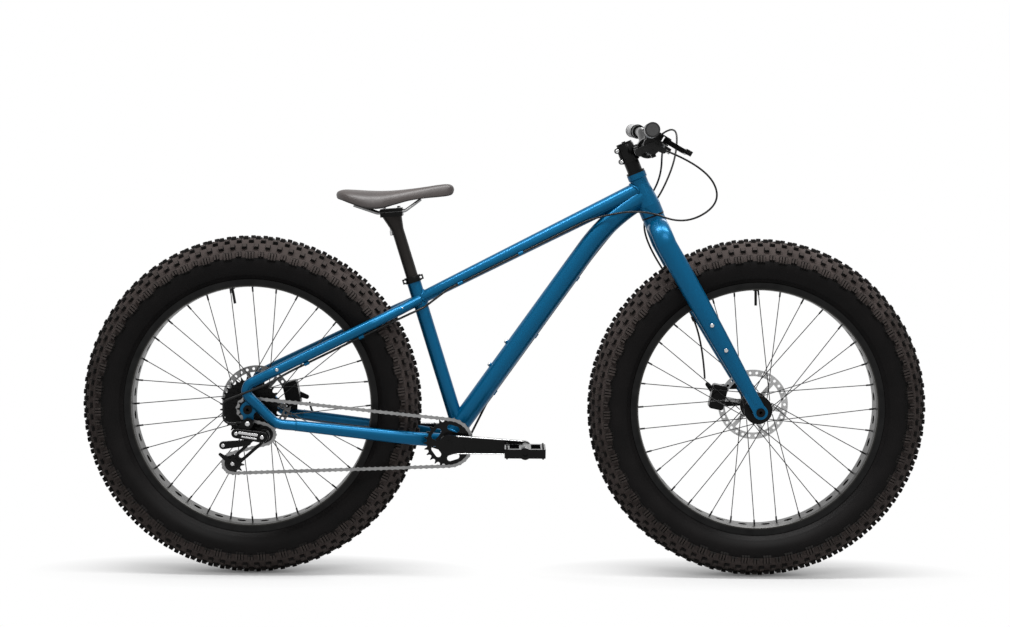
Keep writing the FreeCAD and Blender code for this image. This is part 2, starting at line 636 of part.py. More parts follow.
def seatstay(side):
    bends = [S.seatstay_bend, S.seatstay_bend, S.seatstay_bend, S.hook_bend, S.heel_bend]
    return bent_bar(seatstay_points(side), bends, S.stay_dia / 2)


stay_solids = [chainstay(side).cut([shell_fill, seat_fill, down_fill]) for side in SIDES]
stay_solids = [max(shape.Solids, key=lambda solid: solid.Volume) for shape in stay_solids]
hook_solids = []
for side, stay in zip(SIDES, stay_solids):
    cut = seatstay(side).cut([seat_fill, top_fill, stay])
    hook_solids.append(max(cut.Solids, key=lambda solid: solid.Volume))
hook_solids[1] = hook_solids[1].cut(hook_solids[0])
hook_solids[1] = max(hook_solids[1].Solids, key=lambda solid: solid.Volume)
piece("chainstays", Part.makeCompound(stay_solids))
piece("seatstays", Part.makeCompound(hook_solids))

hanger = rear_axle + Vector(S.hanger_x, 0, -S.hanger_fall)


def dropout(side):
    """A plate round the axle that fills the inside of the bent stay; the right one has the hanger."""
    inner = side * S.rear_spacing / 2
    outer = side * (S.rear_spacing / 2 + S.dropout_thick)
    low = min(inner, outer)
    high = max(inner, outer)
    arm = rear_axle + Vector(S.dropout_arm_x, 0, S.dropout_arm_rise)
    plate = link_plate(rear_axle, arm, S.dropout_eye, S.dropout_arm_radius, low, high)
    if side < 0:
        foot = link_plate(rear_axle, hanger, S.dropout_arm_radius, S.hanger_radius, low, high)
        plate = joined([plate, foot])
    return plate


def dropout_holes(side):
    """Holes through a dropout: the axle's, and on the right the hanger's."""
    reach = S.rear_spacing
    holes = [across_hole(rear_axle, S.rear_axle_dia / 2 + S.running_gap, -reach, reach)]
    if side < 0:
        holes.append(across_hole(hanger, S.hanger_hole / 2, -reach, 0))
    return holes


dropouts = []
for side, hook in zip(SIDES, hook_solids):
    plate = dropout(side).cut(dropout_holes(side)).cut(hook)
    dropouts.append(max(plate.Solids, key=lambda solid: solid.Volume))
piece("dropouts", Part.makeCompound(dropouts))

# Frame: bearings, collar, rear axle

lower_cup = turned("lower_cup", [
    ("steerer_lower_dia/2+seat_gap", "0"), ("head_lower_dia/2", "0"),
    ("head_lower_dia/2", "lower_flange"), ("head_lower_bore/2-running_gap", "lower_flange"),
    ("head_lower_bore/2-running_gap", "lower_flange+cup_depth-cup_edge"),
    ("steerer_lower_dia/2+seat_gap", "lower_flange+cup_depth-cup_edge"),
], Placement(steer_point(S.fork_length - S.lower_flange), steer_frame.Rotation))
upper_cup = turned("upper_cup", [
    ("steerer_dia/2+running_gap", "0"), ("head_upper_bore/2-running_gap", "0"),
    ("head_upper_bore/2-running_gap", "cup_depth-cup_edge"),
    ("head_upper_dia/2-cup_edge", "cup_depth-cup_edge"),
    ("head_upper_dia/2-cup_edge", "cup_depth-cup_edge+upper_flange"),
    ("steerer_dia/2+running_gap", "cup_depth-cup_edge+upper_flange"),
], Placement(head_top - steer_up * (S.cup_depth - S.cup_edge), steer_frame.Rotation))
headset_cups = doc.addObject("Part::Compound", "headset_cups")
headset_cups.Links = [lower_cup, upper_cup]

cup_outline = [
    ("spindle_dia/2+running_gap", "0"), ("shell_bore/2-running_gap", "0"),
    ("shell_bore/2-running_gap", "bracket_cup_in"), ("shell_dia/2", "bracket_cup_in"),
    ("shell_dia/2", "bracket_cup_in+bracket_cup_out"),
    ("spindle_dia/2+running_gap", "bracket_cup_in+bracket_cup_out"),
]
left_cup = turned("left_bracket_cup", cup_outline,
                  axle_frame(bracket, S.shell_width / 2 - S.bracket_cup_in))
right_level = S.bracket_cup_in - S.shell_width / 2
right_cup = turned("right_bracket_cup", cup_outline,
                   Placement(Vector(bracket.x, right_level, bracket.z), Rotation(X_AXIS, 90)))
bracket_cups = doc.addObject("Part::Compound", "bottom_bracket_cups")
bracket_cups.Links = [left_cup, right_cup]


def seat_collar():
    """A split ring round the seat tube with a bolt ear behind and an eyelet ear in front."""
    base = S.seat_tube_length - S.collar_height + S.collar_drop
    ring = Part.makeCylinder(S.collar_dia / 2, S.collar_height, Vector(0, 0, base))
    ears = []
    holes = []
    for way in SIDES:
        ear = Part.makeBox(S.collar_ear_reach, S.collar_ear_width, S.collar_ear,
                           Vector(0, -S.collar_ear_width / 2,
                                  base + (S.collar_height - S.collar_ear) / 2))
        if way < 0:
            ear.rotate(ORIGIN, Z_AXIS, 180)
        ears.append(ear)
        eye = Vector(way * (S.collar_ear_reach - S.collar_hole), 0, base + S.collar_height / 2)
        holes.append(across_hole(eye, S.collar_hole / 2, -S.collar_ear_width, S.collar_ear_width))
    bore = Part.makeCylinder(S.seat_tube_dia / 2 + S.running_gap, S.collar_height - S.collar_drop,
                             Vector(0, 0, base))
    lip = Part.makeCylinder(S.post_dia / 2 + S.seat_gap, S.collar_height + S.overrun,
                            Vector(0, 0, base))
    gap = Part.makeBox(S.collar_ear_reach + S.overrun, S.seat_slit_width, S.collar_height,
                       Vector(-S.collar_ear_reach - S.overrun, -S.seat_slit_width / 2, base))
    body = joined([ring] + ears).cut([bore, lip, gap] + holes)
    body.Placement = seat_frame
    return body


piece("seat_collar", seat_collar())

turned("rear_axle", [
    ("axle_bore/2", "0"), ("axle_head_dia/2", "0"), ("axle_head_dia/2", "axle_tail"),
    ("rear_axle_dia/2", "axle_tail"),
    ("rear_axle_dia/2", "axle_tail+rear_spacing+2*dropout_thick"),
    ("axle_head_dia/2", "axle_tail+rear_spacing+2*dropout_thick"),
    ("axle_head_dia/2", "axle_tail+rear_spacing+2*dropout_thick+axle_head"),
    ("axle_bore/2", "axle_tail+rear_spacing+2*dropout_thick+axle_head"),
], axle_frame(rear_axle, -S.rear_spacing / 2 - S.dropout_thick - S.axle_tail))

# Fork


def leg_section(up, forward, side, depth, width):
    """One oval section of a fork leg, square to the steering axis."""
    return oval_wire(Vector(forward, side, up), X_AXIS, Y_AXIS, depth / 2, width / 2)


def leg_place(up, side):
    """The middle of a fork leg at a height along the steering axis."""
    share = (S.leg_top - up) / S.leg_top
    spread = S.leg_half_spread + (S.leg_foot_spread - S.leg_half_spread) * share
    return Vector(S.fork_offset * share, side * spread, up)


leg_length = math.hypot(S.leg_top, S.fork_offset)
leg_up = Vector(-S.fork_offset / leg_length, 0, S.leg_top / leg_length)
fork_axle = Vector(S.fork_offset, 0, 0)


def cage_boss(side, step):
    """The middle of one boss on a leg's outer face, in the steering frame."""
    along = S.cage_boss_low + S.cage_boss_spacing * step
    place = fork_axle + leg_up * along
    return Vector(place.x, side * S.cage_boss_face, place.z)


def fork_leg(side):
    """A leg that tapers from the crown to an eye round the axle, with two bosses outside."""
    stations = []
    for up, depth, width in (
            (S.leg_top, S.leg_depth_top, S.leg_width_top),
            (S.leg_middle, S.leg_depth_middle, S.leg_width_top),
            (S.leg_low, S.leg_depth_low, S.leg_width_low)):
        middle = leg_place(up, side)
        stations.append(leg_section(up, middle.x, middle.y, depth, width))
    blade = Part.makeLoft(stations, True, False)
    inner = side * S.front_spacing / 2
    outer = side * (S.front_spacing / 2 + S.fork_eye_out)
    eye = across_hole(fork_axle, S.eye_radius, min(inner, outer), max(inner, outer))
    neck = link_plate(fork_axle, leg_place(S.leg_low * 2, side), S.leg_depth_low / 2,
                      S.leg_depth_low / 2, min(inner, outer), max(inner, outer))
    inside = Part.makeBox(S.leg_depth_top * 2, S.front_spacing, S.leg_middle / 2,
                          Vector(-S.leg_depth_top / 2, -S.front_spacing / 2, -S.eye_radius))
    bosses = []
    holes = [across_hole(fork_axle, S.front_axle_dia / 2 + S.running_gap,
                         -S.front_spacing, S.front_spacing)]
    for step in range(2):
        face = cage_boss(side, step)
        root = face - Vector(0, side * S.fork_hole_depth, 0)
        bosses.append(rod(S.cage_boss_radius, root, face))
        holes.append(rod(S.boss_hole / 2, root, face))
    return joined([blade.cut(inside), eye, neck] + bosses).cut(holes)


legs = Part.makeCompound([fork_leg(side) for side in SIDES])
legs.Placement = steer_frame
piece("fork_legs", legs)


def fork_crown():
    """An arch over the tyre, swept between the two legs, with the tapered steerer on top."""
    high = S.leg_top + S.crown_bend
    points = [
        Vector(0, -S.leg_half_spread, S.leg_top), Vector(0, -S.leg_half_spread, high),
        Vector(0, S.leg_half_spread, high), Vector(0, S.leg_half_spread, S.leg_top),
    ]
    section = oval_wire(points[0], X_AXIS, Y_AXIS, S.leg_depth_top / 2, S.leg_width_top / 2)
    arch = bent_path(points, [S.crown_bend, S.crown_bend]).makePipeShell([section], True, False)
    race_top = S.fork_length - S.lower_flange - S.seat_gap
    outline = [
        Vector(0, 0, high), Vector(S.race_dia / 2, 0, high), Vector(S.race_dia / 2, 0, race_top),
        Vector(S.steerer_lower_dia / 2, 0, race_top),
        Vector(S.steerer_lower_dia / 2, 0, S.steerer_taper_low),
        Vector(S.steerer_dia / 2, 0, S.steerer_taper_high),
        Vector(S.steerer_dia / 2, 0, S.steerer_top), Vector(0, 0, S.steerer_top),
    ]
    steerer = Part.Face(Part.makePolygon(outline + outline[:1])).revolve(ORIGIN, Z_AXIS, 360)
    bore = Part.makeCylinder(S.steerer_bore / 2, S.steerer_top, Vector(0, 0, S.steerer_taper_low))
    crown = joined([arch, steerer]).cut(bore)
    crown.Placement = steer_frame
    return crown


piece("fork_crown", fork_crown())

turned("front_axle", [
    ("axle_bore/2", "0"), ("axle_head_dia/2", "0"), ("axle_head_dia/2", "axle_tail"),
    ("front_axle_dia/2", "axle_tail"),
    ("front_axle_dia/2", "axle_tail+front_spacing+2*fork_eye_out"),
    ("axle_head_dia/2", "axle_tail+front_spacing+2*fork_eye_out"),
    ("axle_head_dia/2", "axle_tail+front_spacing+2*fork_eye_out+axle_head"),
    ("axle_bore/2", "axle_tail+front_spacing+2*fork_eye_out+axle_head"),
], axle_frame(front_axle, -S.front_spacing / 2 - S.fork_eye_out - S.axle_tail))

# Wheels


def tyre():
    """A hollow casing turned about Y, with four rows of knobs raised on its crown."""

    def arc(first, middle, last):
        return Part.Arc(*[Vector(0, side, radius) for side, radius in (first, middle, last)]).toShape()

    def line(first, last):
        return Part.LineSegment(Vector(0, *first), Vector(0, *last)).toShape()

    def other(place):
        return (-place[0], place[1])

    wall = S.tyre_wall
    toe = (S.bead_half, S.bead_inner_radius)
    heel = (S.bead_half, S.bead_top_radius)
    belly = (S.tyre_half, S.belly_radius)
    shoulder = (S.shoulder_half, S.shoulder_radius)
    crown = (0, S.crown_radius)
    toe_in = (S.bead_half - wall, S.bead_inner_radius)
    heel_in = (S.bead_half - wall, S.bead_top_radius)
    belly_in = (S.tyre_half - wall, S.belly_radius)
    shoulder_in = (S.shoulder_half - wall * OVAL_SHARE, S.shoulder_radius - wall)
    crown_in = (0, S.crown_radius - wall)
    ring = [
        line(toe, heel), arc(heel, belly, shoulder), arc(shoulder, crown, other(shoulder)),
        arc(other(shoulder), other(belly), other(heel)), line(other(heel), other(toe)),
        line(other(toe), other(toe_in)), line(other(toe_in), other(heel_in)),
        arc(other(heel_in), other(belly_in), other(shoulder_in)),
        arc(other(shoulder_in), crown_in, shoulder_in), arc(shoulder_in, belly_in, heel_in),
        line(heel_in, toe_in), line(toe_in, toe),
    ]
    casing = Part.Face(Part.Wire(ring)).revolve(ORIGIN, Y_AXIS, 360)
    sag = S.crown_radius - S.shoulder_radius
    bow = (S.shoulder_half ** 2 + sag ** 2) / (2 * sag)
    centre = Vector(0, 0, S.crown_radius - bow)
    count = int(S.knob_count)
    knobs = []
    for tilt, width, shift in (
            (S.shoulder_knob_tilt, S.shoulder_knob_width, 0),
            (S.centre_knob_tilt, S.centre_knob_width, 1)):
        for side in SIDES:
            for half, length in enumerate((S.long_knob, S.short_knob)):
                block = Part.makeBox(length, width, S.knob_root + S.knob_height,
                                     Vector(-length / 2, -width / 2, bow - S.knob_root))
                block.rotate(ORIGIN, X_AXIS, -side * tilt)
                block.translate(centre)
                for step in range(count):
                    knob = block.copy()
                    knob.rotate(ORIGIN, Y_AXIS, (step + half / 2 + shift / 4) * 360 / count)
                    knobs.append(knob)
    return casing.fuse(knobs).Solids[0]


def rim(valve_angle):
    """A wide rim with holes between its spokes, the strip behind them, and the valve."""
    half = S.rim_width / 2
    bed = S.rim_bed_radius + S.rim_bed
    ledge = S.rim_edge_radius + S.rim_bed
    outline = []
    for side in SIDES:
        corners = [
            (side * (half - S.rim_shoulder), S.rim_bed_radius), (side * half, S.rim_edge_radius),
            (side * half, S.rim_flange_radius), (side * (half - S.rim_wall), S.rim_flange_radius),
            (side * (half - S.rim_wall), ledge), (side * (half - S.rim_shoulder - S.rim_ledge), bed),
        ]
        outline += corners if side < 0 else corners[::-1]
    points = [Vector(0, across, radius) for across, radius in outline]
    ring = Part.Face(Part.makePolygon(points + points[:1])).revolve(ORIGIN, Y_AXIS, 360)
    holes = []
    count = int(S.spoke_count)
    for step in range(count):
        way = Rotation(Y_AXIS, (step + 1 / 2) * 360 / count).multVec(Z_AXIS)
        holes.append(rod(S.rim_hole_radius, way * (S.rim_bed_radius - S.overrun), way * ledge))
    strip_half = S.strip_width / 2
    strip = rod(bed + S.strip_thick, Y_AXIS * -strip_half, Y_AXIS * strip_half)
    strip = strip.cut(rod(bed, Y_AXIS * -strip_half, Y_AXIS * strip_half))
    turn = math.radians(valve_angle)
    way = Vector(math.cos(turn), 0, math.sin(turn))
    top = way * (S.rim_bed_radius - S.seat_gap)
    valve = joined([rod(S.valve_radius, top - way * S.valve_length, top),
                    rod(S.valve_nut_radius, top - way * S.valve_nut, top)])
    return Part.makeCompound([ring.cut(holes), strip, valve])


def spokes(right_flange, left_flange):
    """Crossed spokes from both flange edges to the rim, each with a nipple at the rim."""
    per_side = int(S.spoke_count) // 2
    step = 360 / per_side
    edge = S.hub_flange_dia / 2 + S.loose_gap + S.spoke_radius
    made = []
    for side, flange in ((-1, right_flange), (1, left_flange)):
        for index in range(per_side):
            lead = 1 if index % 2 else -1
            hub_angle = index * step + (step / 2 if side > 0 else 0)
            rim_angle = hub_angle - lead * S.spoke_cross * step
            start = Rotation(Y_AXIS, hub_angle).multVec(Z_AXIS * S.spoke_circle)
            start.y = flange
            end = Rotation(Y_AXIS, rim_angle).multVec(Z_AXIS * (S.rim_bed_radius - S.loose_gap))
            end.y = side * S.spoke_rim_offset
            way = (end - start).normalize()
            flat = Vector(way.x, 0, way.z)
            toward = start.x * flat.x + start.z * flat.z
            room = edge ** 2 - S.spoke_circle ** 2
            span = flat.dot(flat)
            travel = (math.sqrt(toward ** 2 + span * room) - toward) / span
            start = start + way * travel
            nipple = end - way * S.nipple_length
            made.append(rod(S.spoke_radius, start, nipple).fuse(rod(S.nipple_radius, nipple, end)))
    return Part.makeCompound([bar.Solids[0] for bar in made])


def placed(shape, centre):
    """A copy of a shape moved from the origin to a place."""
    moved = shape.copy()
    moved.translate(centre)
    return moved


casing = tyre()
for end, axle, angle in (("front", front_axle, S.front_valve_angle),
                         ("rear", rear_axle, S.rear_valve_angle)):
    piece(end + "_tyre", placed(casing, axle))
    piece(end + "_rim", placed(rim(angle), axle))

front_flanges = [S.front_right_flange - S.front_spacing / 2 + S.hub_flange / 2,
                 S.front_left_flange - S.front_spacing / 2 + S.hub_flange / 2]
rear_flanges = [S.rear_right_flange - S.rear_hub_start + S.hub_flange / 2,
                S.rear_left_flange - S.rear_hub_start + S.hub_flange / 2]
piece("front_spokes", placed(spokes(*front_flanges), front_axle))
piece("rear_spokes", placed(spokes(*rear_flanges), rear_axle))

turned("front_hub", [
    ("front_axle_dia/2+hub_gap", "hub_gap"), ("hub_cap_dia/2", "hub_gap"),
    ("hub_cap_dia/2", "front_cap"), ("front_neck_dia/2", "front_right_flange-hub_cone"),
    ("front_neck_dia/2", "front_right_flange"), ("hub_flange_dia/2", "front_right_flange"),
    ("hub_flange_dia/2", "front_right_flange+hub_flange"),
    ("hub_shell_dia/2", "front_right_flange+hub_flange+hub_cone"),
    ("hub_shell_dia/2", "front_left_flange-hub_cone"), ("hub_flange_dia/2", "front_left_flange"),
    ("hub_flange_dia/2", "front_left_flange+hub_flange"),
    ("rotor_seat_dia/2", "front_left_flange+hub_flange"), ("rotor_seat_dia/2", "front_rotor_seat"),
    ("hub_cap_dia/2", "front_rotor_seat"), ("hub_cap_dia/2", "front_spacing-hub_gap"),
    ("front_axle_dia/2+hub_gap", "front_spacing-hub_gap"),
], axle_frame(front_axle, -S.front_spacing / 2))
turned("rear_hub", [
    ("rear_axle_dia/2+hub_gap", "0"), ("rear_neck_dia/2", "0"),
    ("rear_neck_dia/2", "rear_right_flange"), ("hub_flange_dia/2", "rear_right_flange"),
    ("hub_flange_dia/2", "rear_right_flange+hub_flange"),
    ("hub_shell_dia/2", "rear_right_flange+hub_flange+hub_cone"),
    ("hub_shell_dia/2", "rear_left_flange-hub_cone"), ("hub_flange_dia/2", "rear_left_flange"),
    ("hub_flange_dia/2", "rear_left_flange+hub_flange"),
    ("rotor_seat_dia/2", "rear_left_flange+hub_flange"), ("rotor_seat_dia/2", "rear_rotor_seat"),
    ("hub_cap_dia/2", "rear_rotor_seat"),
    ("hub_cap_dia/2", "rear_hub_start+rear_spacing/2-hub_gap"),
    ("rear_axle_dia/2+hub_gap", "rear_hub_start+rear_spacing/2-hub_gap"),
], axle_frame(rear_axle, -S.rear_hub_start))


def rotor(label, centre, level):
    """A brake rotor: a vented band on arms, drawn as a body with two polar patterns."""
    body = doc.addObject("PartDesign::Body", label)
    body.Label = label
    band = circle_sketch(body, label + "_band", [("0", "rotor_radius"),
                                                 ("0", "rotor_radius-rotor_band")])
    pad = body.newObject("PartDesign::Pad", label + "_band_pad")
    pad.Profile = band
    pad.setExpression("Length", "sizes.rotor_thick")
    middle = circle_sketch(body, label + "_middle", [("0", "rotor_centre_radius"),
                                                     ("0", "rotor_hole_radius")])
    arm = body.newObject("Sketcher::SketchObject", label + "_arm")
    arm.AttachmentSupport = [(origin_plane(body, "XY_Plane"), "")]
    arm.MapMode = "FlatFace"
    near = amount_of("rotor_centre_radius-cup_edge")
    far = amount_of("rotor_radius-rotor_band+cup_edge")
    low = S.rotor_arm_width
    corners = [Vector(near, 0, 0), Vector(far, low, 0), Vector(far, 2 * low, 0),
               Vector(near, low, 0)]
    for start, finish in zip(corners, corners[1:] + corners[:1]):
        arm.addGeometry(Part.LineSegment(start, finish))
    for index in range(4):
        arm.addConstraint(Sketcher.Constraint("Coincident", index, 2, (index + 1) % 4, 1))
    for index, (across, up) in enumerate((
            ("rotor_centre_radius-2*cup_edge", "0"),
            ("rotor_radius-rotor_band+cup_edge", "rotor_arm_width"),
            ("rotor_radius-rotor_band-cup_edge", "2*rotor_arm_width"),
            ("rotor_centre_radius-4*cup_edge", "rotor_arm_width"))):
        bind_place(arm, index, across, up)
    arm_pad = body.newObject("PartDesign::Pad", label + "_arm_pad")
    arm_pad.Profile = arm
    arm_pad.setExpression("Length", "sizes.rotor_thick")
    doc.recompute()
    ring_of(body, label + "_arms", arm_pad, "rotor_arms")
    doc.recompute()
    centre_pad = body.newObject("PartDesign::Pad", label + "_middle_pad")
    centre_pad.Profile = middle
    centre_pad.setExpression("Length", "sizes.rotor_thick")
    doc.recompute()
    vent = circle_sketch(body, label + "_vent", [("rotor_radius-rotor_band/2",
                                                  "rotor_vent_radius")])
    pocket = body.newObject("PartDesign::Pocket", label + "_vent_cut")
    pocket.Profile = vent
    pocket.Type = "ThroughAll"
    pocket.Midplane = True
    doc.recompute()
    ring_of(body, label + "_vents", pocket, "rotor_vents")
    doc.recompute()
    body.Placement = axle_frame(centre, level)


rotor("front_rotor", front_axle, S.front_rotor_seat - S.front_spacing / 2)
rotor("rear_rotor", rear_axle, S.rear_rotor_seat - S.rear_hub_start)

# Drive: sprockets and chain


def pitch_radius(teeth):
    """The radius on which a sprocket carries its rollers."""
    return S.pitch / (2 * math.sin(math.pi / teeth))


def sprocket_face(teeth, phase):
    """A toothed outline in XZ; each valley is an arc round a roller, each tooth a flat-topped wedge."""
    radius = pitch_radius(teeth)
    step = 2 * math.pi / teeth
    tip_half = S.tooth_tip / 2 / (radius + S.tooth_height)

    def at(distance, angle):
        return Vector(distance * math.cos(angle), 0, distance * math.sin(angle))

    edges = []
    first = None
    before = None
    for index in range(teeth):
        middle = phase + index * step
        centre = at(radius, middle)
        hollow = []
        for swing in (-1, 0, 1):
            way = middle + math.pi + swing * -math.pi * 2 / 5
            hollow.append(centre + at(S.valley_radius, way))
        tip_before = at(radius + S.tooth_height, middle - step / 2 + tip_half)
        tip_after = at(radius + S.tooth_height, middle + step / 2 - tip_half)
        if before is None:
            first = tip_before
        else:
            edges.append(Part.LineSegment(before, tip_before).toShape())
        edges.append(Part.LineSegment(tip_before, hollow[0]).toShape())
        edges.append(Part.Arc(*hollow).toShape())
        edges.append(Part.LineSegment(hollow[2], tip_after).toShape())
        before = tip_after
    edges.append(Part.LineSegment(before, first).toShape())
    return Part.Face(Part.Wire(edges))


def sprocket(teeth, phase, centre, level, thick):
    """A toothed disc whose middle plane lies at a Y level."""
    disc = sprocket_face(teeth, phase).extrude(Y_AXIS * thick)
    disc.translate(Vector(centre.x, level - thick / 2, centre.z))
    return disc


cog_level = -(S.cog_first - S.cog_pitch)
upper_jockey = rear_axle + Vector(S.upper_jockey_x, 0, -S.upper_jockey_fall)


def lower_jockey_at(angle):
    """The lower jockey wheel's middle for a cage angle, measured back from straight ahead."""
    turn = math.radians(angle)
    return upper_jockey + Vector(-math.sin(turn - math.pi / 2), 0,
                                 -math.cos(turn - math.pi / 2)) * S.jockey_span


def chain_course(angle):
    """The chain's straight runs and wraps, as it travels, for one cage angle."""
    lower = lower_jockey_at(angle)
    wheels = [
        (rear_axle, S.cog_teeth, -1, cog_level), (bracket, S.ring_teeth, -1, -S.chainline),
        (lower, S.jockey_teeth, -1, cog_level), (upper_jockey, S.jockey_teeth, 1, cog_level),
    ]
    ways = []
    for index, (centre, teeth, sense, level) in enumerate(wheels):
        far, far_teeth, far_sense, far_level = wheels[(index + 1) % len(wheels)]
        apart = far - centre
        near_reach = pitch_radius(teeth) * sense
        far_reach = pitch_radius(far_teeth) * far_sense
        bearing = math.atan2(apart.z, apart.x)
        ways.append(bearing + math.asin((near_reach - far_reach) / apart.Length))
    return wheels, ways


def touch(wheel, way):
    """Where a run that travels along an angle leaves or meets a wheel."""
    centre, teeth, sense, level = wheel
    reach = pitch_radius(teeth) * sense
    return Vector(centre.x + reach * math.sin(way), level, centre.z - reach * math.cos(way))


def course_pieces(angle):
    """Runs and wraps in order with their lengths counted in links."""
    wheels, ways = chain_course(angle)
    pieces = []
    for index, wheel in enumerate(wheels):
        following = (index + 1) % len(wheels)
        start = touch(wheel, ways[index])
        end = touch(wheels[following], ways[index])
        pieces.append(("run", (end - start).Length / S.pitch, start, end))
        centre, teeth, sense, level = wheels[following]
        turn = (sense * (ways[following] - ways[index])) % (2 * math.pi)
        pieces.append(("wrap", turn * teeth / (2 * math.pi), wheels[following], ways[index]))
    return pieces


def course_length(angle):
    """The whole course counted in links."""
    return sum(entry[1] for entry in course_pieces(angle))


def cage_angle():
    """The cage angle that takes up the stated number of links."""
    low = S.cage_guess_low
    high = S.cage_guess_high
    rising = course_length(high) > course_length(low)
    for attempt in range(60):
        middle = (low + high) / 2
        if (course_length(middle) < S.chain_links) == rising:
            low = middle
        else:
            high = middle
    return (low + high) / 2


cage_turn = cage_angle()
lower_jockey = lower_jockey_at(cage_turn)


def course_place(count, pieces):
    """The place of one chain roller along the course."""
    for kind, length, first, second in pieces:
        if count <= length:
            break
        count -= length
    if kind == "run":
        return first + (second - first) * (count / length)
    centre, teeth, sense, level = first
    return touch(first, second + sense * count * 2 * math.pi / teeth)


course = course_pieces(cage_turn)
links = int(S.chain_links)
rollers = [course_place(index, course) for index in range(links)]


def wheel_phase(centre, teeth):
    """The angle of a roller that sits on a wheel, so that the wheel's valleys meet the chain."""
    radius = pitch_radius(teeth)
    seated = [place for place in rollers
              if abs(math.hypot(place.x - centre.x, place.z - centre.z) - radius) < S.running_gap / 50]
    middle = seated[len(seated) // 2]
    return math.atan2(middle.z - centre.z, middle.x - centre.x)


def plate_face(half_length):
    """A waisted chain plate in XZ: two round ends with a hollow on each side."""
    end = S.plate_end_radius
    lean_in = math.pi / 3
    near = half_length - end * math.cos(lean_in)
    tall = end * math.sin(lean_in)
    corners = [Vector(near, 0, tall), Vector(-near, 0, tall), Vector(-near, 0, -tall),
               Vector(near, 0, -tall)]
    waist = Vector(0, 0, S.plate_waist)
    reach = Vector(half_length + end, 0, 0)
    return Part.Face(Part.Wire([
        Part.Arc(corners[0], waist, corners[1]).toShape(),
        Part.Arc(corners[1], reach * -1, corners[2]).toShape(),
        Part.Arc(corners[2], waist * -1, corners[3]).toShape(),
        Part.Arc(corners[3], reach, corners[0]).toShape(),
    ]))


def chain_link(outer):
    """One link about the origin: inner plates with rollers, or outer plates with pins."""
    half = S.pitch / 2
    near = S.inner_half_gap + (S.plate_thick + S.plate_gap if outer else 0)
    made = []
    for side in SIDES:
        plate = plate_face(half).extrude(Y_AXIS * S.plate_thick)
        plate.translate(Y_AXIS * (near if side > 0 else -near - S.plate_thick))
        made.append(plate)
    reach = near + S.plate_thick + S.pin_stand if outer else near
    for side in SIDES:
        place = Vector(side * half, 0, 0)
        made.append(across_hole(place, S.pin_radius if outer else S.roller_radius, -reach, reach))
    link = joined(made)
    if not outer:
        link = link.cut([across_hole(Vector(side * half, 0, 0), S.pin_radius + S.plate_gap,
                                     -S.pitch, S.pitch) for side in SIDES])
    return link.Solids[0]


patterns = (chain_link(False), chain_link(True))
chain = []
for index, place in enumerate(rollers):
    following = rollers[(index + 1) % links]
    along = (following - place).normalize()
    up = along.cross(Y_AXIS).normalize()
    across = up.cross(along)
    turn = Rotation(along, across, up, "XZY")
    link = patterns[index % 2].copy()
    link.Placement = Placement((place + following) / 2, turn)
    chain.append(link)
piece("chain", Part.makeCompound(chain))


def chainring():
    """The front sprocket with a ring of slots between its rim and its seat on the spindle."""
    ring = sprocket(int(S.ring_teeth), wheel_phase(bracket, S.ring_teeth), bracket, -S.chainline,
                    S.sprocket_thick)
    low = -S.chainline - S.pitch
    high = -S.chainline + S.pitch
    cuts = [across_hole(bracket, S.spindle_dia / 2 + S.running_gap, low, high)]
    for step in range(int(S.ring_slots)):
        turn = 2 * math.pi * step / S.ring_slots
        way = Vector(math.cos(turn), 0, math.sin(turn))
        beside = Vector(-way.z, 0, way.x)
        middle = bracket + way * S.ring_slot_circle
        cuts.append(link_plate(middle - beside * S.ring_slot_half / 2,
                               middle + beside * S.ring_slot_half / 2,
                               S.ring_slot_radius, S.ring_slot_radius, low, high))
    return ring.cut(cuts).Solids[0]


piece("chainring", chainring())


def cassette():
    """Nine cogs on one carrier that runs on the rear axle."""
    carrier = across_hole(rear_axle, S.cassette_core_dia / 2, -S.cog_first - S.sprocket_thick,
                          -S.rear_hub_start - S.hub_gap)
    cap = across_hole(rear_axle, S.cassette_cap_dia / 2, -S.cassette_end, -S.cog_first)
    discs = []
    for index, teeth in enumerate(COGS):
        level = -S.cog_first + index * S.cog_pitch
        phase = wheel_phase(rear_axle, S.cog_teeth) if teeth == int(S.cog_teeth) else 0
        discs.append(sprocket(teeth, phase, rear_axle, level, S.sprocket_thick))
    bore = across_hole(rear_axle, S.rear_axle_dia / 2 + S.running_gap, -S.wheel_radius, 0)
    return carrier.fuse([cap] + discs).cut(bore).Solids[0]


piece("cassette", cassette())

# Derailleur

cage_inner = cog_level + S.cage_half
cage_outer = cog_level - S.cage_half


def jockey(centre):
    """A small toothed wheel that runs on a pin of the cage."""
    wheel = sprocket(int(S.jockey_teeth), wheel_phase(centre, S.jockey_teeth), centre, cog_level,
                     S.jockey_thick)
    boss = across_hole(centre, S.jockey_bore_radius * 2, cage_outer + S.loose_gap,
                       cage_inner - S.loose_gap)
    bore = across_hole(centre, S.jockey_bore_radius + S.running_gap, cage_outer, cage_inner)
    return joined([wheel, boss]).cut(bore).Solids[0]


piece("upper_jockey_wheel", jockey(upper_jockey))
piece("lower_jockey_wheel", jockey(lower_jockey))


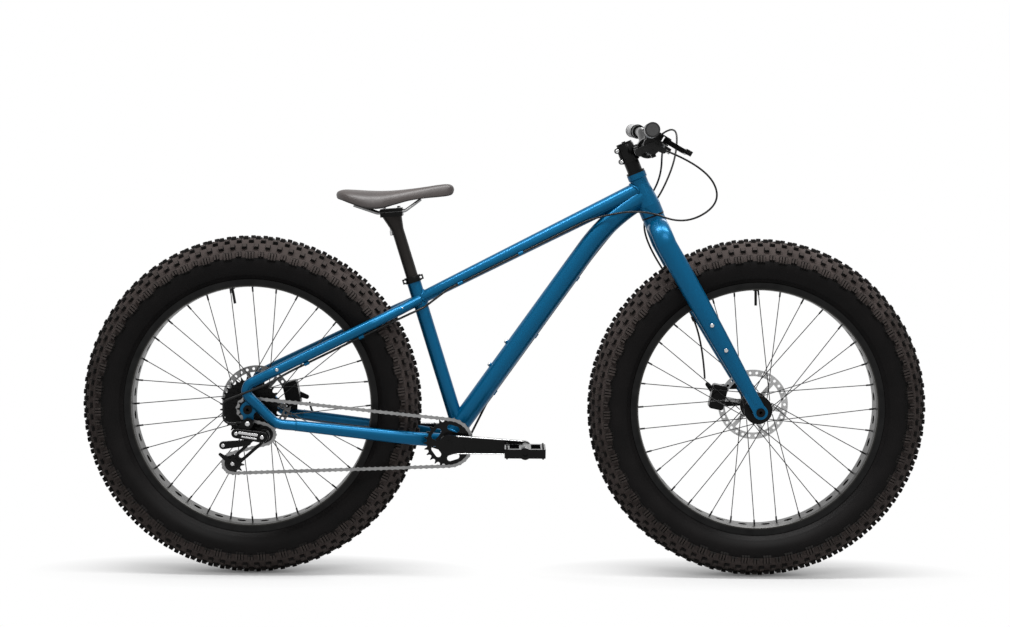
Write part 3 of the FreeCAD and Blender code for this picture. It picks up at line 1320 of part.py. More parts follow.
def derailleur_cage():
    """Two plates joined by the two pins that the jockey wheels run on."""
    plates = []
    for near, far in ((cage_inner, cage_inner + S.cage_plate),
                      (cage_outer - S.cage_plate, cage_outer)):
        plates.append(link_plate(upper_jockey, lower_jockey, S.cage_upper_radius,
                                 S.cage_lower_radius, near, far))
    window = link_plate(upper_jockey + (lower_jockey - upper_jockey) / 4,
                        upper_jockey + (lower_jockey - upper_jockey) * 3 / 4,
                        S.cage_upper_radius / 2, S.cage_lower_radius / 2,
                        cage_outer - S.pitch, cage_inner + S.pitch)
    pins = [across_hole(centre, S.jockey_bore_radius, cage_outer - S.cage_plate - S.cage_bolt,
                        cage_inner + S.cage_plate) for centre in (upper_jockey, lower_jockey)]
    head = across_hole(lower_jockey, S.cage_bolt_radius, cage_outer - S.cage_plate - S.cage_bolt,
                       cage_outer - S.cage_plate)
    return joined([plate.cut(window) for plate in plates] + pins + [head])


piece("derailleur_cage", derailleur_cage())

dropout_face = -(S.rear_spacing / 2 + S.dropout_thick)
knuckle_high = dropout_face - S.seat_gap
knuckle_low = dropout_face - S.knuckle_out
cage_face = cage_outer - S.cage_plate - S.seat_gap
rear_pivot = hanger + Vector(-S.rear_pivot_back, 0, -S.rear_pivot_fall)
hanger_knuckle = joined([
    link_plate(hanger, rear_pivot, S.hanger_knuckle_radius, S.rear_pivot_radius, knuckle_low,
               knuckle_high),
    across_hole(hanger, S.hanger_hole / 2 - S.running_gap, knuckle_high,
                knuckle_high + S.dropout_thick),
])
cage_knuckle = joined([
    across_hole(upper_jockey, S.cage_knuckle_radius, knuckle_low, cage_face - S.cage_bolt),
    across_hole(upper_jockey, S.cage_bolt_radius, cage_face - S.cage_bolt, cage_face),
]).cut(across_hole(upper_jockey, S.jockey_bore_radius + S.running_gap,
                   cage_face - S.cage_bolt - S.loose_gap, cage_face))
barrel_foot = hanger + Vector(-S.hanger_knuckle_radius + S.cage_plate, 0, 0)
barrel = rod(S.barrel_radius,
             Vector(barrel_foot.x, (knuckle_low + knuckle_high) / 2, barrel_foot.z),
             Vector(barrel_foot.x - S.barrel_length, (knuckle_low + knuckle_high) / 2,
                    barrel_foot.z))
hanger_knuckle = joined([hanger_knuckle, barrel])
knuckles = [hanger_knuckle, cage_knuckle.cut(hanger_knuckle)]
piece("derailleur_knuckles", Part.makeCompound([max(shape.Solids, key=lambda solid: solid.Volume)
                                                for shape in knuckles]))
link_bars = []
for step in range(2):
    start_level = knuckle_low - S.seat_gap - S.link_thick
    lift = Vector(0, 0, S.link_radius * (1 if step else -1) * 2 / 3)
    bar = link_plate(rear_pivot + lift, upper_jockey + lift, S.link_radius / 2, S.link_radius / 2,
                     start_level, start_level + S.link_thick)
    if not step:
        eye = rear_pivot + Vector(-S.link_eye_back, 0, -S.link_eye_fall)
        arm = link_plate(eye, upper_jockey + lift, S.link_radius * 2 / 3, S.link_radius / 2,
                         start_level, start_level + S.link_thick)
        hole = across_hole(eye, S.link_radius / 3, start_level - S.overrun,
                           start_level + S.link_thick + S.overrun)
        bar = joined([bar, arm]).cut(hole)
    link_bars.append(bar)
piece("derailleur_links", Part.makeCompound(link_bars))

# Crank and pedals

crank_turn = math.radians(-S.crank_angle)
crank_way = Vector(math.cos(crank_turn), 0, math.sin(crank_turn))


def crank_arm(side):
    """One arm with a hollow in its outer face, and the pedal spindle at its tip."""
    tip = bracket + crank_way * (S.crank_length * -side)
    inner = side * S.crank_inner
    outer = side * (S.crank_inner + S.crank_thick)
    low = min(inner, outer)
    high = max(inner, outer)
    arm = link_plate(bracket, tip, S.crank_boss_radius, S.crank_tip_radius, low, high)
    floor = outer - side * S.crank_pocket
    hollow = link_plate(bracket + crank_way * (S.crank_pocket_start * -side),
                        bracket + crank_way * (S.crank_pocket_end * -side),
                        S.crank_pocket_root, S.crank_pocket_tip, min(floor, outer),
                        max(floor, outer))
    bolt = across_hole(bracket, S.crank_bolt_radius, min(outer, outer + side * S.crank_pocket),
                       max(outer, outer + side * S.crank_pocket))
    end = outer + side * S.pedal_spindle_length
    spindle = across_hole(tip, S.pedal_spindle_dia / 2, min(outer, end), max(outer, end))
    stop = outer + side * S.pedal_collar
    collar = across_hole(tip, S.pedal_collar_dia / 2, min(outer, stop), max(outer, stop))
    made = [arm.cut(hollow), bolt, spindle, collar]
    if side < 0:
        made.append(across_hole(bracket, S.crank_boss_radius, inner,
                                -S.chainline - S.sprocket_thick / 2))
    return joined(made)


spindle = across_hole(bracket, S.spindle_dia / 2, -S.crank_inner, S.crank_inner)
piece("crank_arms", joined([crank_arm(-1), crank_arm(1), spindle]))


def pedal(side):
    """A platform with two windows, a barrel round the spindle, and grip pins on both faces."""
    tip = bracket + crank_way * (S.crank_length * -side)
    start = S.crank_inner + S.crank_thick + S.pedal_collar + S.pedal_stand
    long_half = S.pedal_long / 2
    thick_half = S.pedal_thick / 2
    block = Part.makeBox(S.pedal_long, S.pedal_wide, S.pedal_thick,
                         Vector(-long_half, start, -thick_half))
    corners = [edge for edge in block.Edges
               if abs(edge.tangentAt(edge.FirstParameter).z) > OVAL_SHARE]
    block = block.makeFillet(S.pedal_edge * 2, corners)
    barrel_half = S.pedal_barrel_dia / 2
    windows = []
    for way in SIDES:
        near = barrel_half if way > 0 else -long_half + S.pedal_rail
        windows.append(Part.makeBox(long_half - S.pedal_rail - barrel_half,
                                    S.pedal_wide - 2 * S.pedal_end, S.pedal_thick,
                                    Vector(near, start + S.pedal_end, -thick_half)))
    barrel = rod(barrel_half, Vector(0, start, 0), Vector(0, start + S.pedal_wide, 0))
    pins = []
    for face in SIDES:
        for way in SIDES:
            for share in (1, 3, 5):
                foot = Vector(way * (long_half - S.pedal_rail / 2), start + S.pedal_wide * share / 6,
                              face * (thick_half - S.pedal_edge))
                top = Vector(foot.x, foot.y, face * (thick_half + S.pin_height))
                pins.append(rod(S.pedal_pin_radius, foot, top))
    bore = rod(S.pedal_spindle_dia / 2 + S.running_gap, Vector(0, start, 0),
               Vector(0, start + S.pedal_spindle_length, 0))
    made = joined([block.cut(windows), barrel] + pins).cut(bore)
    if side < 0:
        made = mirrored(made)
    made.translate(tip)
    return made


piece("right_pedal", pedal(-1))
piece("left_pedal", pedal(1))

# Cockpit, in the steering frame

stack_foot = S.fork_length + S.head_length + S.upper_flange + S.seat_gap
stem_low = stack_foot + S.spacer_height * S.spacer_count
stem_high = stem_low + S.stem_clamp_height
bar_local = Vector(S.stem_reach, 0, (stem_low + stem_high) / 2 - S.stem_bar_fall)
bar_middle = steer_frame.multVec(bar_local)


def headset_spacers():
    """Rings between headset and stem, and the cap above the stem."""
    rings = []
    for step in range(int(S.spacer_count)):
        low = stack_foot + S.spacer_height * step
        rings.append(pipe(S.spacer_dia / 2, S.steerer_dia / 2 + S.running_gap, Vector(0, 0, low),
                          Vector(0, 0, low + S.spacer_height)))
    cap = rod(S.cap_dia / 2, Vector(0, 0, stem_high), Vector(0, 0, stem_high + S.cap_height))
    bolt = rod(S.bolt_head_dia / 2, Vector(0, 0, stem_high + S.cap_height),
               Vector(0, 0, stem_high + S.cap_height + S.bolt_head / 2))
    stack = Part.makeCompound(rings + [joined([cap, bolt])])
    stack.Placement = steer_frame
    return stack


piece("headset_spacers", headset_spacers())


def bar_boss(width, radius):
    """A cylinder along Y round the handlebar's middle, in the steering frame."""
    return rod(radius, bar_local - Y_AXIS * (width / 2), bar_local + Y_AXIS * (width / 2))


def stem_body():
    """The clamp on the steerer with its split lug and bolts, the neck, and half the bar clamp."""
    clamp = rod(S.stem_clamp_dia / 2, Vector(0, 0, stem_low), Vector(0, 0, stem_high))
    middle = (stem_low + stem_high) / 2
    web = S.clamp_lug_reach - S.clamp_lug / 2
    lugs = [Part.makeBox(web, S.clamp_lug * 2, S.clamp_bolt_half * 2,
                         Vector(-web, -S.clamp_lug, middle - S.clamp_bolt_half))]
    neck = rod(S.stem_neck_dia / 2, Vector(0, 0, (stem_low + stem_high) / 2), bar_local)
    boss = bar_boss(S.bar_clamp_width, S.bar_boss_dia / 2)
    slot = Part.makeBox(S.clamp_lug_reach, S.clamp_slot, S.stem_clamp_height,
                        Vector(-S.clamp_lug_reach, -S.clamp_slot / 2, stem_low))
    bore = rod(S.steerer_dia / 2 + S.running_gap, Vector(0, 0, stem_low - S.overrun),
               Vector(0, 0, stem_high + S.overrun))
    bar = bar_boss(S.bar_clamp_width * 2, S.bar_clamp_dia / 2 + S.running_gap)
    front = Part.makeBox(S.bar_boss_dia, S.bar_clamp_width * 2, S.bar_boss_dia * 2,
                         bar_local - Vector(0, S.bar_clamp_width, S.bar_boss_dia))
    bolts = []
    for way in SIDES:
        place = Vector(-web, 0, middle + way * S.clamp_bolt_half)
        lugs.append(rod(S.clamp_lug / 2, place - Y_AXIS * S.clamp_lug, place + Y_AXIS * S.clamp_lug))
        bolts.append(rod(S.bolt_head_dia / 2, place - Y_AXIS * S.clamp_lug,
                         place - Y_AXIS * (S.clamp_lug + S.bolt_head / 2)))
        bolts.append(rod(S.bolt_dia / 2, place - Y_AXIS * S.clamp_lug, place + Y_AXIS * S.clamp_lug))
    metal = joined([clamp, neck, boss] + lugs).cut([slot, bore, bar, front])
    return joined([max(metal.Solids, key=lambda solid: solid.Volume)] + bolts).cut(bore)


def stem_faceplate():
    """The front half of the bar clamp with its four bolt heads."""
    boss = bar_boss(S.bar_clamp_width, S.bar_boss_dia / 2)
    bar = bar_boss(S.bar_clamp_width * 2, S.bar_clamp_dia / 2 + S.running_gap)
    rear = Part.makeBox(S.bar_boss_dia + S.faceplate_gap, S.bar_clamp_width * 2,
                        S.bar_boss_dia * 2,
                        bar_local - Vector(S.bar_boss_dia, S.bar_clamp_width, S.bar_boss_dia))
    heads = []
    for side in SIDES:
        for way in SIDES:
            foot = bar_local + Vector(S.faceplate_gap, side * (S.bar_clamp_width - S.bolt_head_dia) / 2,
                                      way * (S.bar_boss_dia - S.bolt_head) / 2)
            heads.append(rod(S.bolt_head_dia / 2, foot, foot + X_AXIS * (S.bolt_head * 2)))
    plate = boss.cut([bar, rear])
    return joined([max(plate.Solids, key=lambda solid: solid.Volume)] + heads).cut(bar)


for label, shape in (("stem", stem_body()), ("stem_faceplate", stem_faceplate())):
    shape.Placement = steer_frame
    piece(label, shape)


def bar_points():
    """The handlebar's path from its left end to its right end."""
    half = S.bar_width / 2
    side = [Vector(-S.bar_sweep, half, S.bar_rise),
            Vector(-S.bar_sweep / 4, S.bar_rise_end, S.bar_rise * 9 / 10),
            Vector(0, S.bar_rise_start, 0)]
    path = side + [Vector(place.x, -place.y, place.z) for place in reversed(side)]
    return [bar_middle + place for place in path]


bar_line = bar_points()


def bar_at(side, reach):
    """The middle of the bar's straight end at a distance from the middle plane, and its way."""
    near = bar_line[1] if side > 0 else bar_line[-2]
    far = bar_line[0] if side > 0 else bar_line[-1]
    way = (far - near).normalize()
    return near + way * ((reach - abs(near.y)) / abs(way.y)), way


def handlebar():
    """A bent bar with a thicker clamp zone."""
    bends = [S.bar_bend] * 4
    tube = bent_bar(bar_line, bends, S.bar_dia / 2)
    flat = S.bar_flat / 2
    thick = rod(S.bar_clamp_dia / 2, bar_middle - Y_AXIS * flat, bar_middle + Y_AXIS * flat)
    made = [tube, thick]
    for side in SIDES:
        start = bar_middle + Y_AXIS * (side * flat)
        made.append(cone_between(S.bar_clamp_dia / 2, S.bar_dia / 2, start,
                                 start + Y_AXIS * (side * S.bar_taper / 2)))
    return joined(made)


piece("handlebar", handlebar())


def grip(side):
    """A soft sleeve with rings cut round it and a closed end."""
    end, way = bar_at(side, S.bar_width / 2)
    start = end - way * S.grip_length
    cap = end + way * S.grip_cap
    sleeve = joined([rod(S.grip_dia / 2, start, cap),
                     rod(S.grip_flange_dia / 2, start, start + way * S.grip_flange)])
    bore = rod(S.bar_dia / 2 + S.running_gap, start - way * S.overrun, end)
    cuts = [bore]
    for step in range(1, 6):
        low = start + way * (S.grip_length * step / 6)
        cuts.append(pipe(S.grip_dia, S.grip_dia / 2 - S.grip_groove, low,
                         low + way * (S.grip_groove * 2)))
    return sleeve.cut(cuts)


piece("grips", Part.makeCompound([grip(side) for side in SIDES]))

fall = math.radians(S.lever_fall_angle)
lever_out = Vector(math.cos(fall), 0, -math.sin(fall))
lever_rise = Vector(math.sin(fall), 0, math.cos(fall))


def pivot_at(side):
    """The middle of a brake lever's pivot."""
    place, way = bar_at(side, S.lever_place)
    return place + lever_out * S.perch_reach + Vector(0, -side * S.perch_side, 0)


def lever_frame(side):
    """A placement at a lever's pivot: X away from the bar, Z outboard, Y along the pin."""
    outboard = Y_AXIS * side
    return Placement(pivot_at(side), Rotation(lever_out, outboard.cross(lever_out), outboard, "XZY"))


def lever_clamp(side):
    """The band round the bar and the forked perch that holds the lever's pivot pin."""
    place, way = bar_at(side, S.lever_place)
    half = S.lever_band_width / 2
    band = rod(S.lever_band_dia / 2, place - way * half, place + way * half)
    tall = S.perch_height / 2
    slot_half = S.lever_tall / 2 + S.lever_gap
    root = Vector(-S.perch_reach + S.bar_dia / 2, 0, S.perch_side)
    fork = Vector(-2 * S.perch_radius, 0, 0)
    radius = S.perch_radius
    perch = joined([
        link_plate(root, fork, radius, radius, -tall, tall),
        link_plate(fork, ORIGIN, radius, radius, slot_half, tall),
        link_plate(fork, ORIGIN, radius, radius, -tall, -slot_half),
        across_hole(ORIGIN, S.lever_pivot_radius, -tall, tall),
    ])
    perch.Placement = lever_frame(side)
    bore = rod(S.bar_dia / 2 + S.running_gap, place - way * S.perch_reach,
               place + way * S.perch_reach)
    return joined([band, perch]).cut(bore)


def brake_lever(side):
    """An eye on the pivot pin, a knee forward, and a blade along the bar with a hooked tip."""
    half = S.lever_tall / 2
    reach = S.lever_reach - S.perch_reach
    knee = Vector(reach, 0, S.lever_knee)
    end = Vector(reach, 0, S.lever_span)
    tip = Vector(reach + S.lever_hook, 0, S.lever_span + S.lever_bend)
    thick = S.lever_thick / 2
    lever = joined([
        link_plate(ORIGIN, knee, S.lever_eye_radius, thick, -half, half),
        link_plate(knee, end, thick, thick, -half, half),
        link_plate(end, tip, thick, thick, -half, half),
    ]).cut(across_hole(ORIGIN, S.lever_pivot_radius + S.running_gap, -S.lever_tall, S.lever_tall))
    lever.Placement = lever_frame(side)
    return lever


piece("brake_lever_clamps", Part.makeCompound([lever_clamp(side) for side in SIDES]))
piece("right_brake_lever", brake_lever(-1))
piece("left_brake_lever", brake_lever(1))

shift_place, shift_way = bar_at(-1, S.shifter_place)
pod = shift_place + Vector(S.pod_forward, 0, -S.pod_fall)
pod_low = pod.y - S.pod_thick / 2
pod_high = pod.y + S.pod_thick / 2


def shifter_body():
    """A band on the bar, a round pod below it, and the pin that both levers turn on."""
    half = S.shifter_band_width / 2
    band = rod(S.lever_band_dia / 2, shift_place - shift_way * half, shift_place + shift_way * half)
    neck = link_plate(shift_place, pod, S.shifter_band_width, S.pod_radius / 2,
                      shift_place.y - half, shift_place.y + half)
    body = across_hole(pod, S.pod_radius, pod_low, pod_high)
    pin = across_hole(pod, S.shift_pin_radius,
                      pod_low - S.thumb_thick - S.release_thick - 3 * S.shift_gap, pod_high)
    bore = rod(S.bar_dia / 2 + S.running_gap, shift_place - shift_way * S.pod_fall,
               shift_place + shift_way * S.pod_fall)
    return joined([band, neck, body, pin]).cut(bore)


def shift_lever(angle, reach, tip_radius, thick, level):
    """A paddle that turns on the pod's pin, beside the pod."""
    turn = math.radians(angle)
    tip = pod + Vector(math.cos(turn), 0, math.sin(turn)) * reach
    plate = link_plate(pod, tip, S.thumb_radius, tip_radius, level - thick, level)
    pad = across_hole(tip, tip_radius, level - thick * 2, level)
    bore = across_hole(pod, S.shift_pin_radius + S.running_gap, level - S.pod_fall,
                       level + S.pod_fall)
    return joined([plate, pad]).cut(bore)


piece("shifter_body", shifter_body())
release_level = pod_low - S.shift_gap
thumb_level = release_level - S.release_thick - S.shift_gap
piece("shift_release_lever", shift_lever(S.release_angle, S.release_reach, S.release_tip_radius,
                                         S.release_thick / 2, release_level))
piece("shift_thumb_lever", shift_lever(S.thumb_angle, S.thumb_reach, S.thumb_tip_radius,
                                       S.thumb_thick, thumb_level))

# Brake calipers


def caliper(centre, level, turn_angle):
    """A block that straddles the rotor, with an adjuster knob inside and a pin for the arm."""
    turn = math.radians(turn_angle)
    out = Vector(math.cos(turn), 0, math.sin(turn))
    along = Vector(-out.z, 0, out.x)
    middle = centre + out * (S.rotor_radius + S.caliper_deep / 2 - S.caliper_bite)
    block = Part.makeBox(S.caliper_deep, S.caliper_half * 2, S.caliper_long,
                         Vector(-S.caliper_deep / 2, -S.caliper_half, -S.caliper_long / 2))
    rims = [edge for edge in block.Edges if abs(edge.tangentAt(edge.FirstParameter).y) > OVAL_SHARE]
    block = block.makeFillet(S.caliper_corner, rims)
    block.Placement = Placement(Vector(middle.x, level, middle.z),
                                Rotation(out, Y_AXIS, along, "XZY"))
    knob = across_hole(middle, S.knob_radius, level - S.caliper_half - S.knob_thick,
                       level - S.caliper_half)
    pin = across_hole(middle, S.arm_pin_radius, level + S.caliper_half,
                      level + S.caliper_half + S.arm_thick + 2 * S.arm_gap)
    slot = across_hole(centre, S.rotor_radius + S.caliper_slot, level - S.caliper_slot / 2,
                       level + S.caliper_slot / 2)
    return joined([block, knob, pin]).cut(slot), middle


def brake_arm(middle, level, angle):
    """The lever on a caliper that its cable pulls."""
    turn = math.radians(angle)
    tip = middle + Vector(math.cos(turn), 0, math.sin(turn)) * S.arm_length
    low = level + S.caliper_half + S.arm_gap
    arm = link_plate(middle, tip, S.arm_root_radius, S.arm_tip_radius, low, low + S.arm_thick)
    bore = across_hole(middle, S.arm_pin_radius + S.running_gap, low - S.overrun, low + S.overrun * 2)
    return arm.cut(bore)


def caliper_lug(start, end, level):
    """A flat lug from a caliper's outer face to what carries it."""
    low = level + S.caliper_half
    return link_plate(start, end, S.caliper_lug_radius, S.caliper_lug_radius, low,
                      low + S.mount_lug)


rear_level = S.rear_rotor_seat - S.rear_hub_start + S.rotor_thick / 2
front_level = S.front_rotor_seat - S.front_spacing / 2 + S.rotor_thick / 2
rear_caliper, rear_pin = caliper(rear_axle, rear_level, S.rear_caliper_turn)
front_caliper, front_pin = caliper(front_axle, front_level, S.front_caliper_turn)


def caliper_along(turn_angle):
    """The way a caliper's long side runs."""
    turn = math.radians(turn_angle)
    return Vector(-math.sin(turn), 0, math.cos(turn))


rear_along = caliper_along(S.rear_caliper_turn)
heel = seatstay_points(1)[5]
rear_foot = rear_pin - rear_along * S.caliper_lug_place
rear_lugs = [
    caliper_lug(rear_foot, heel + X_AXIS * (S.rear_lug_step * step), rear_level)
    for step in range(2)
]
rear_body = joined([rear_caliper] + rear_lugs).cut([hook_solids[1], stay_solids[1]])
piece("rear_brake_caliper", max(rear_body.Solids, key=lambda solid: solid.Volume))
front_along = caliper_along(S.front_caliper_turn)
front_lugs = []
for way in SIDES:
    foot = front_pin + front_along * (S.caliper_lug_place * way)
    leg = steer_frame.multVec(leg_place(S.front_lug_up - S.caliper_lug_place * way, 1))
    front_lugs.append(caliper_lug(foot, leg, front_level))
front_body = joined([front_caliper] + front_lugs).cut(legs)
piece("front_brake_caliper", max(front_body.Solids, key=lambda solid: solid.Volume))
piece("rear_brake_arm", brake_arm(rear_pin, rear_level, S.rear_arm_angle))
piece("front_brake_arm", brake_arm(front_pin, front_level, S.front_arm_angle))


def arm_tip(middle, level, angle, further):
    """A place off the tip of a caliper's arm."""
    turn = math.radians(angle)
    reach = S.arm_length
    tip = middle + Vector(math.cos(turn), 0, math.sin(turn)) * reach
    return Vector(tip.x, level + S.caliper_half + S.arm_gap + S.arm_thick / 2, tip.z) + further


# Cables


def top_place(share, angle):
    """A place beside the top tube, at a share of its length and an angle below its side."""
    centre = top_seat + (top_head - top_seat) * share
    grow_height = S.top_tube_head_height - S.top_tube_seat_height
    grow_width = S.top_tube_head_width - S.top_tube_seat_width
    height = (S.top_tube_seat_height + grow_height * share) / 2 + S.cable_stand
    width = (S.top_tube_seat_width + grow_width * share) / 2 + S.cable_stand
    turn = math.radians(angle)
    return centre - top_rise * (height * math.sin(turn)) - Y_AXIS * (width * math.cos(turn))


def under_down(along):
    """A place beside the down tube, below it and towards the left."""
    turn = math.radians(S.down_run_angle)
    reach = S.down_tube_dia / 2 + S.cable_stand
    return down_place(along, reach * math.sin(turn)) + Y_AXIS * (reach * math.cos(turn))


def on_line(first, second, x):
    """The place on a straight line with a given X."""
    return first + (second - first) * ((x - first.x) / (second.x - first.x))


right_stay = seatstay_points(-1)
left_chainstay = stay_points(1)
TOP_SHARES = (0.72, 0.42, 0.12)
top_start = top_place(TOP_SHARES[0], S.top_run_angle)
top_end = top_place(TOP_SHARES[-1], S.top_run_angle)
seat_pass = seat_top - seat_up * S.seat_pass_fall + X_AXIS * S.seat_pass_ahead
stay_pass = on_line(right_stay[0], right_stay[1], rear_axle.x + S.stay_pass_x)
stay_low = on_line(right_stay[2], right_stay[3], rear_axle.x + S.stay_run_end_x)
barrel_mouth = Vector(barrel_foot.x - S.barrel_length - S.running_gap,
                      (knuckle_low + knuckle_high) / 2, barrel_foot.z)
shift_run = [
    top_start, top_end, Vector(seat_pass.x, -S.seat_pass_y, seat_pass.z),
    Vector(stay_pass.x, -S.stay_pass_y, stay_pass.z - S.stay_pass_fall),
    right_stay[2] - Z_AXIS * S.stay_run_fall, stay_low - Z_AXIS * S.stay_run_fall,
    Vector(rear_axle.x + S.hook_pass_x, -S.hook_pass_y, rear_axle.z + S.hook_pass_rise),
    Vector(rear_axle.x - S.tail_x, -S.tail_y, rear_axle.z + S.tail_rise),
    Vector(rear_axle.x - S.tail_x, barrel_mouth.y, barrel_mouth.z), barrel_mouth,
]
shift_bends = [S.cable_bend] * 6 + [S.tight_bend] * 2
stay_under_start = on_line(left_chainstay[1], left_chainstay[2], bracket.x - S.under_stay_start)
stay_under_end = on_line(left_chainstay[2], left_chainstay[3], rear_axle.x + S.under_stay_end)
rear_pull = Vector(S.arm_approach / 2, 0, -S.arm_approach)
brake_run = [
    under_down(S.down_run_end), under_down(S.down_run_start),
    bracket + Vector(S.under_x, S.under_y, -S.under_fall),
    bracket + Vector(-S.belly_x, S.belly_y, -S.belly_fall),
    stay_under_start - Z_AXIS * S.under_stay_fall, stay_under_end - Z_AXIS * S.under_stay_fall,
    rear_axle + Vector(S.beside_low_x, S.beside_y, S.beside_low_rise),
    rear_axle + Vector(S.beside_high_x, S.beside_y, S.beside_high_rise),
    arm_tip(rear_pin, rear_level, S.rear_arm_angle, rear_pull),
]
brake_bends = [S.cable_bend] * 5 + [S.tight_bend] * 2
piece("frame_cables", Part.makeCompound([
    bent_bar(shift_run, shift_bends, S.cable_radius),
    bent_bar(brake_run, brake_bends, S.cable_radius),
]))


def guide(place, way, holders):
    """A short sleeve round a cable, cut to sit on the tube that carries it."""
    half = (way * 1).normalize() * (S.guide_length / 2)
    inside = S.cable_radius + S.guide_gap
    sleeve = pipe(inside + S.guide_wall, inside, place - half, place + half).cut(holders)
    return max(sleeve.Solids, key=lambda solid: solid.Volume)


guides = []
for share in TOP_SHARES[1:]:
    near = top_start + (top_end - top_start) * ((TOP_SHARES[0] - share)
                                                / (TOP_SHARES[0] - TOP_SHARES[-1]) * 9 / 10)
    guides.append(guide(near, top_end - top_start, [top_fill]))
for share in (1 / 12, 1 / 2, 11 / 12):
    near = brake_run[0] + (brake_run[1] - brake_run[0]) * share
    guides.append(guide(near, brake_run[1] - brake_run[0], [down_fill]))
for share in (1 / 6, 5 / 6):
    near = shift_run[4] + (shift_run[5] - shift_run[4]) * share
    guides.append(guide(near, shift_run[5] - shift_run[4], [hook_solids[0]]))
piece("cable_guides", Part.makeCompound(guides))


def sheet_place(name):
    """A place whose three parts have names of their own on the sheet."""
    return Vector(*[getattr(S, name + axis) for axis in ("_x", "_y", "_z")])


def cable_loop(name, start, run):
    """A loop from the bars that meets the first straight of a run end to end."""
    lead = run[0] + (run[0] - run[1]).normalize() * S.cable_bend
    points = [start + sheet_place(name + part)
              for part in ("exit", "fore", "nose", "low", "back")] + [lead, run[0]]
    return bent_bar(points, [S.loop_bend] * 4 + [S.cable_bend], S.cable_radius)


piece("cable_loops", Part.makeCompound([
    cable_loop("shift_loop_", pod, shift_run), cable_loop("brake_loop_", pivot_at(-1), brake_run),
]))
front_pull = Vector(-S.arm_approach / 2, 0, S.arm_approach)
front_run = [pivot_at(1) + sheet_place("front_loop_" + part) for part in ("exit", "fore", "nose")]
front_run += [steer_frame.multVec(sheet_place(part))
              for part in ("crown_fore", "crown_top", "crown_back", "leg_run")]
front_run.append(arm_tip(front_pin, front_level, S.front_arm_angle, front_pull))
front_bends = [S.loop_bend, S.loop_bend, S.loop_bend, S.tight_bend, S.loop_bend, S.loop_bend]
clip_share = (S.crown_back_z - S.clip_place) / (S.crown_back_z - S.leg_run_z)
clip_middle = front_run[5] + (front_run[6] - front_run[5]) * clip_share
piece("front_brake_cable", Part.makeCompound([
    bent_bar(front_run, front_bends, S.cable_radius),
    guide(clip_middle, front_run[6] - front_run[5], [legs]),
]))

# Seatpost and saddle

post_top = seat_top + seat_up * S.post_above
saddle_seat = post_top + Vector(-S.post_setback, 0, S.post_rail_rise)
saddle_frame = Placement(saddle_seat, Rotation(Y_AXIS, -S.saddle_tilt))
head_foot = post_top - seat_up * S.post_head_fall
head_face = saddle_frame.multVec(Vector(0, 0, -S.clamp_thick - S.loose_gap - S.seat_gap))
post_head = Part.makeLoft([
    Part.Wire([Part.makeCircle(S.post_dia / 2, head_foot, seat_up)]),
    oval_wire(head_face, saddle_frame.Rotation.multVec(X_AXIS), Y_AXIS, S.post_head_long,
              S.post_head_half),
], True, False)


def seatpost():
    """A tube that slides in the seat tube, with a forged head that widens up to the clamp."""
    foot = seat_top - seat_up * S.post_insert
    tube = joined([rod(S.post_dia / 2, foot, head_foot), post_head])
    bore = rod(S.post_dia / 2 - S.post_wall, foot, head_foot)
    return tube.cut(bore)


piece("seatpost", seatpost())


def rail(side):
    """One steel rail: straight in the clamp, bent up to the shell at nose and rear."""
    lift = S.base_level - S.rail_radius - S.seat_gap
    points = [
        Vector(-S.rail_rear, side * S.rail_rear_half, lift),
        Vector(-S.rail_flat, side * S.rail_half, 0), Vector(S.rail_flat, side * S.rail_half, 0),
        Vector(S.rail_nose, side * S.rail_nose_half, lift),
    ]
    return bent_bar(points, [S.rail_bend, S.rail_bend], S.rail_radius)


def saddle_clamp():
    """A cradle below the rails and a plate above them, pulled together by a bolt."""
    long_half = S.clamp_long / 2
    wide_half = S.clamp_wide / 2
    cradle = Part.makeBox(S.clamp_long, S.clamp_wide, S.clamp_thick,
                          Vector(-long_half, -wide_half, -S.clamp_thick - S.loose_gap))
    plate = Part.makeBox(S.clamp_long, S.clamp_wide, S.clamp_top_thick,
                         Vector(-long_half, -wide_half, S.loose_gap))
    bolt = rod(S.bolt_dia / 2, Vector(0, 0, -S.clamp_thick / 2), Vector(0, 0, S.clamp_top_thick))
    grooves = [rod(S.rail_radius + S.running_gap, Vector(-S.clamp_long, side * S.rail_half, 0),
                   Vector(S.clamp_long, side * S.rail_half, 0)) for side in SIDES]
    clamp = joined([cradle, plate, bolt]).cut(grooves)
    clamp.Placement = saddle_frame
    return clamp


def saddle_sections(level, thicks, inset, flat):
    """Cross-sections of the saddle from rear to nose, standing on one level."""
    rings = []
    for station, width, thick in zip(SADDLE_STATION_SHARES, SADDLE_WIDTH_SHARES, thicks):
        x = -S.saddle_rear + inset + (S.saddle_length - 2 * inset) * station
        half = S.saddle_half * width - inset
        low = [Vector(x, -half, level), Vector(x, half, level)]
        rise = Z_AXIS * (thick if flat else thick * SADDLE_SIDE_SHARE)
        high = [low[0] + rise, low[1] + rise]
        edges = [Part.LineSegment(low[0], low[1]).toShape(),
                 Part.LineSegment(low[1], high[1]).toShape()]
        if flat:
            edges.append(Part.LineSegment(high[1], high[0]).toShape())
        else:
            edges.append(Part.Arc(high[1], Vector(x, 0, level + thick), high[0]).toShape())
        edges.append(Part.LineSegment(high[0], low[0]).toShape())
        rings.append(Part.Wire(edges))
    return rings


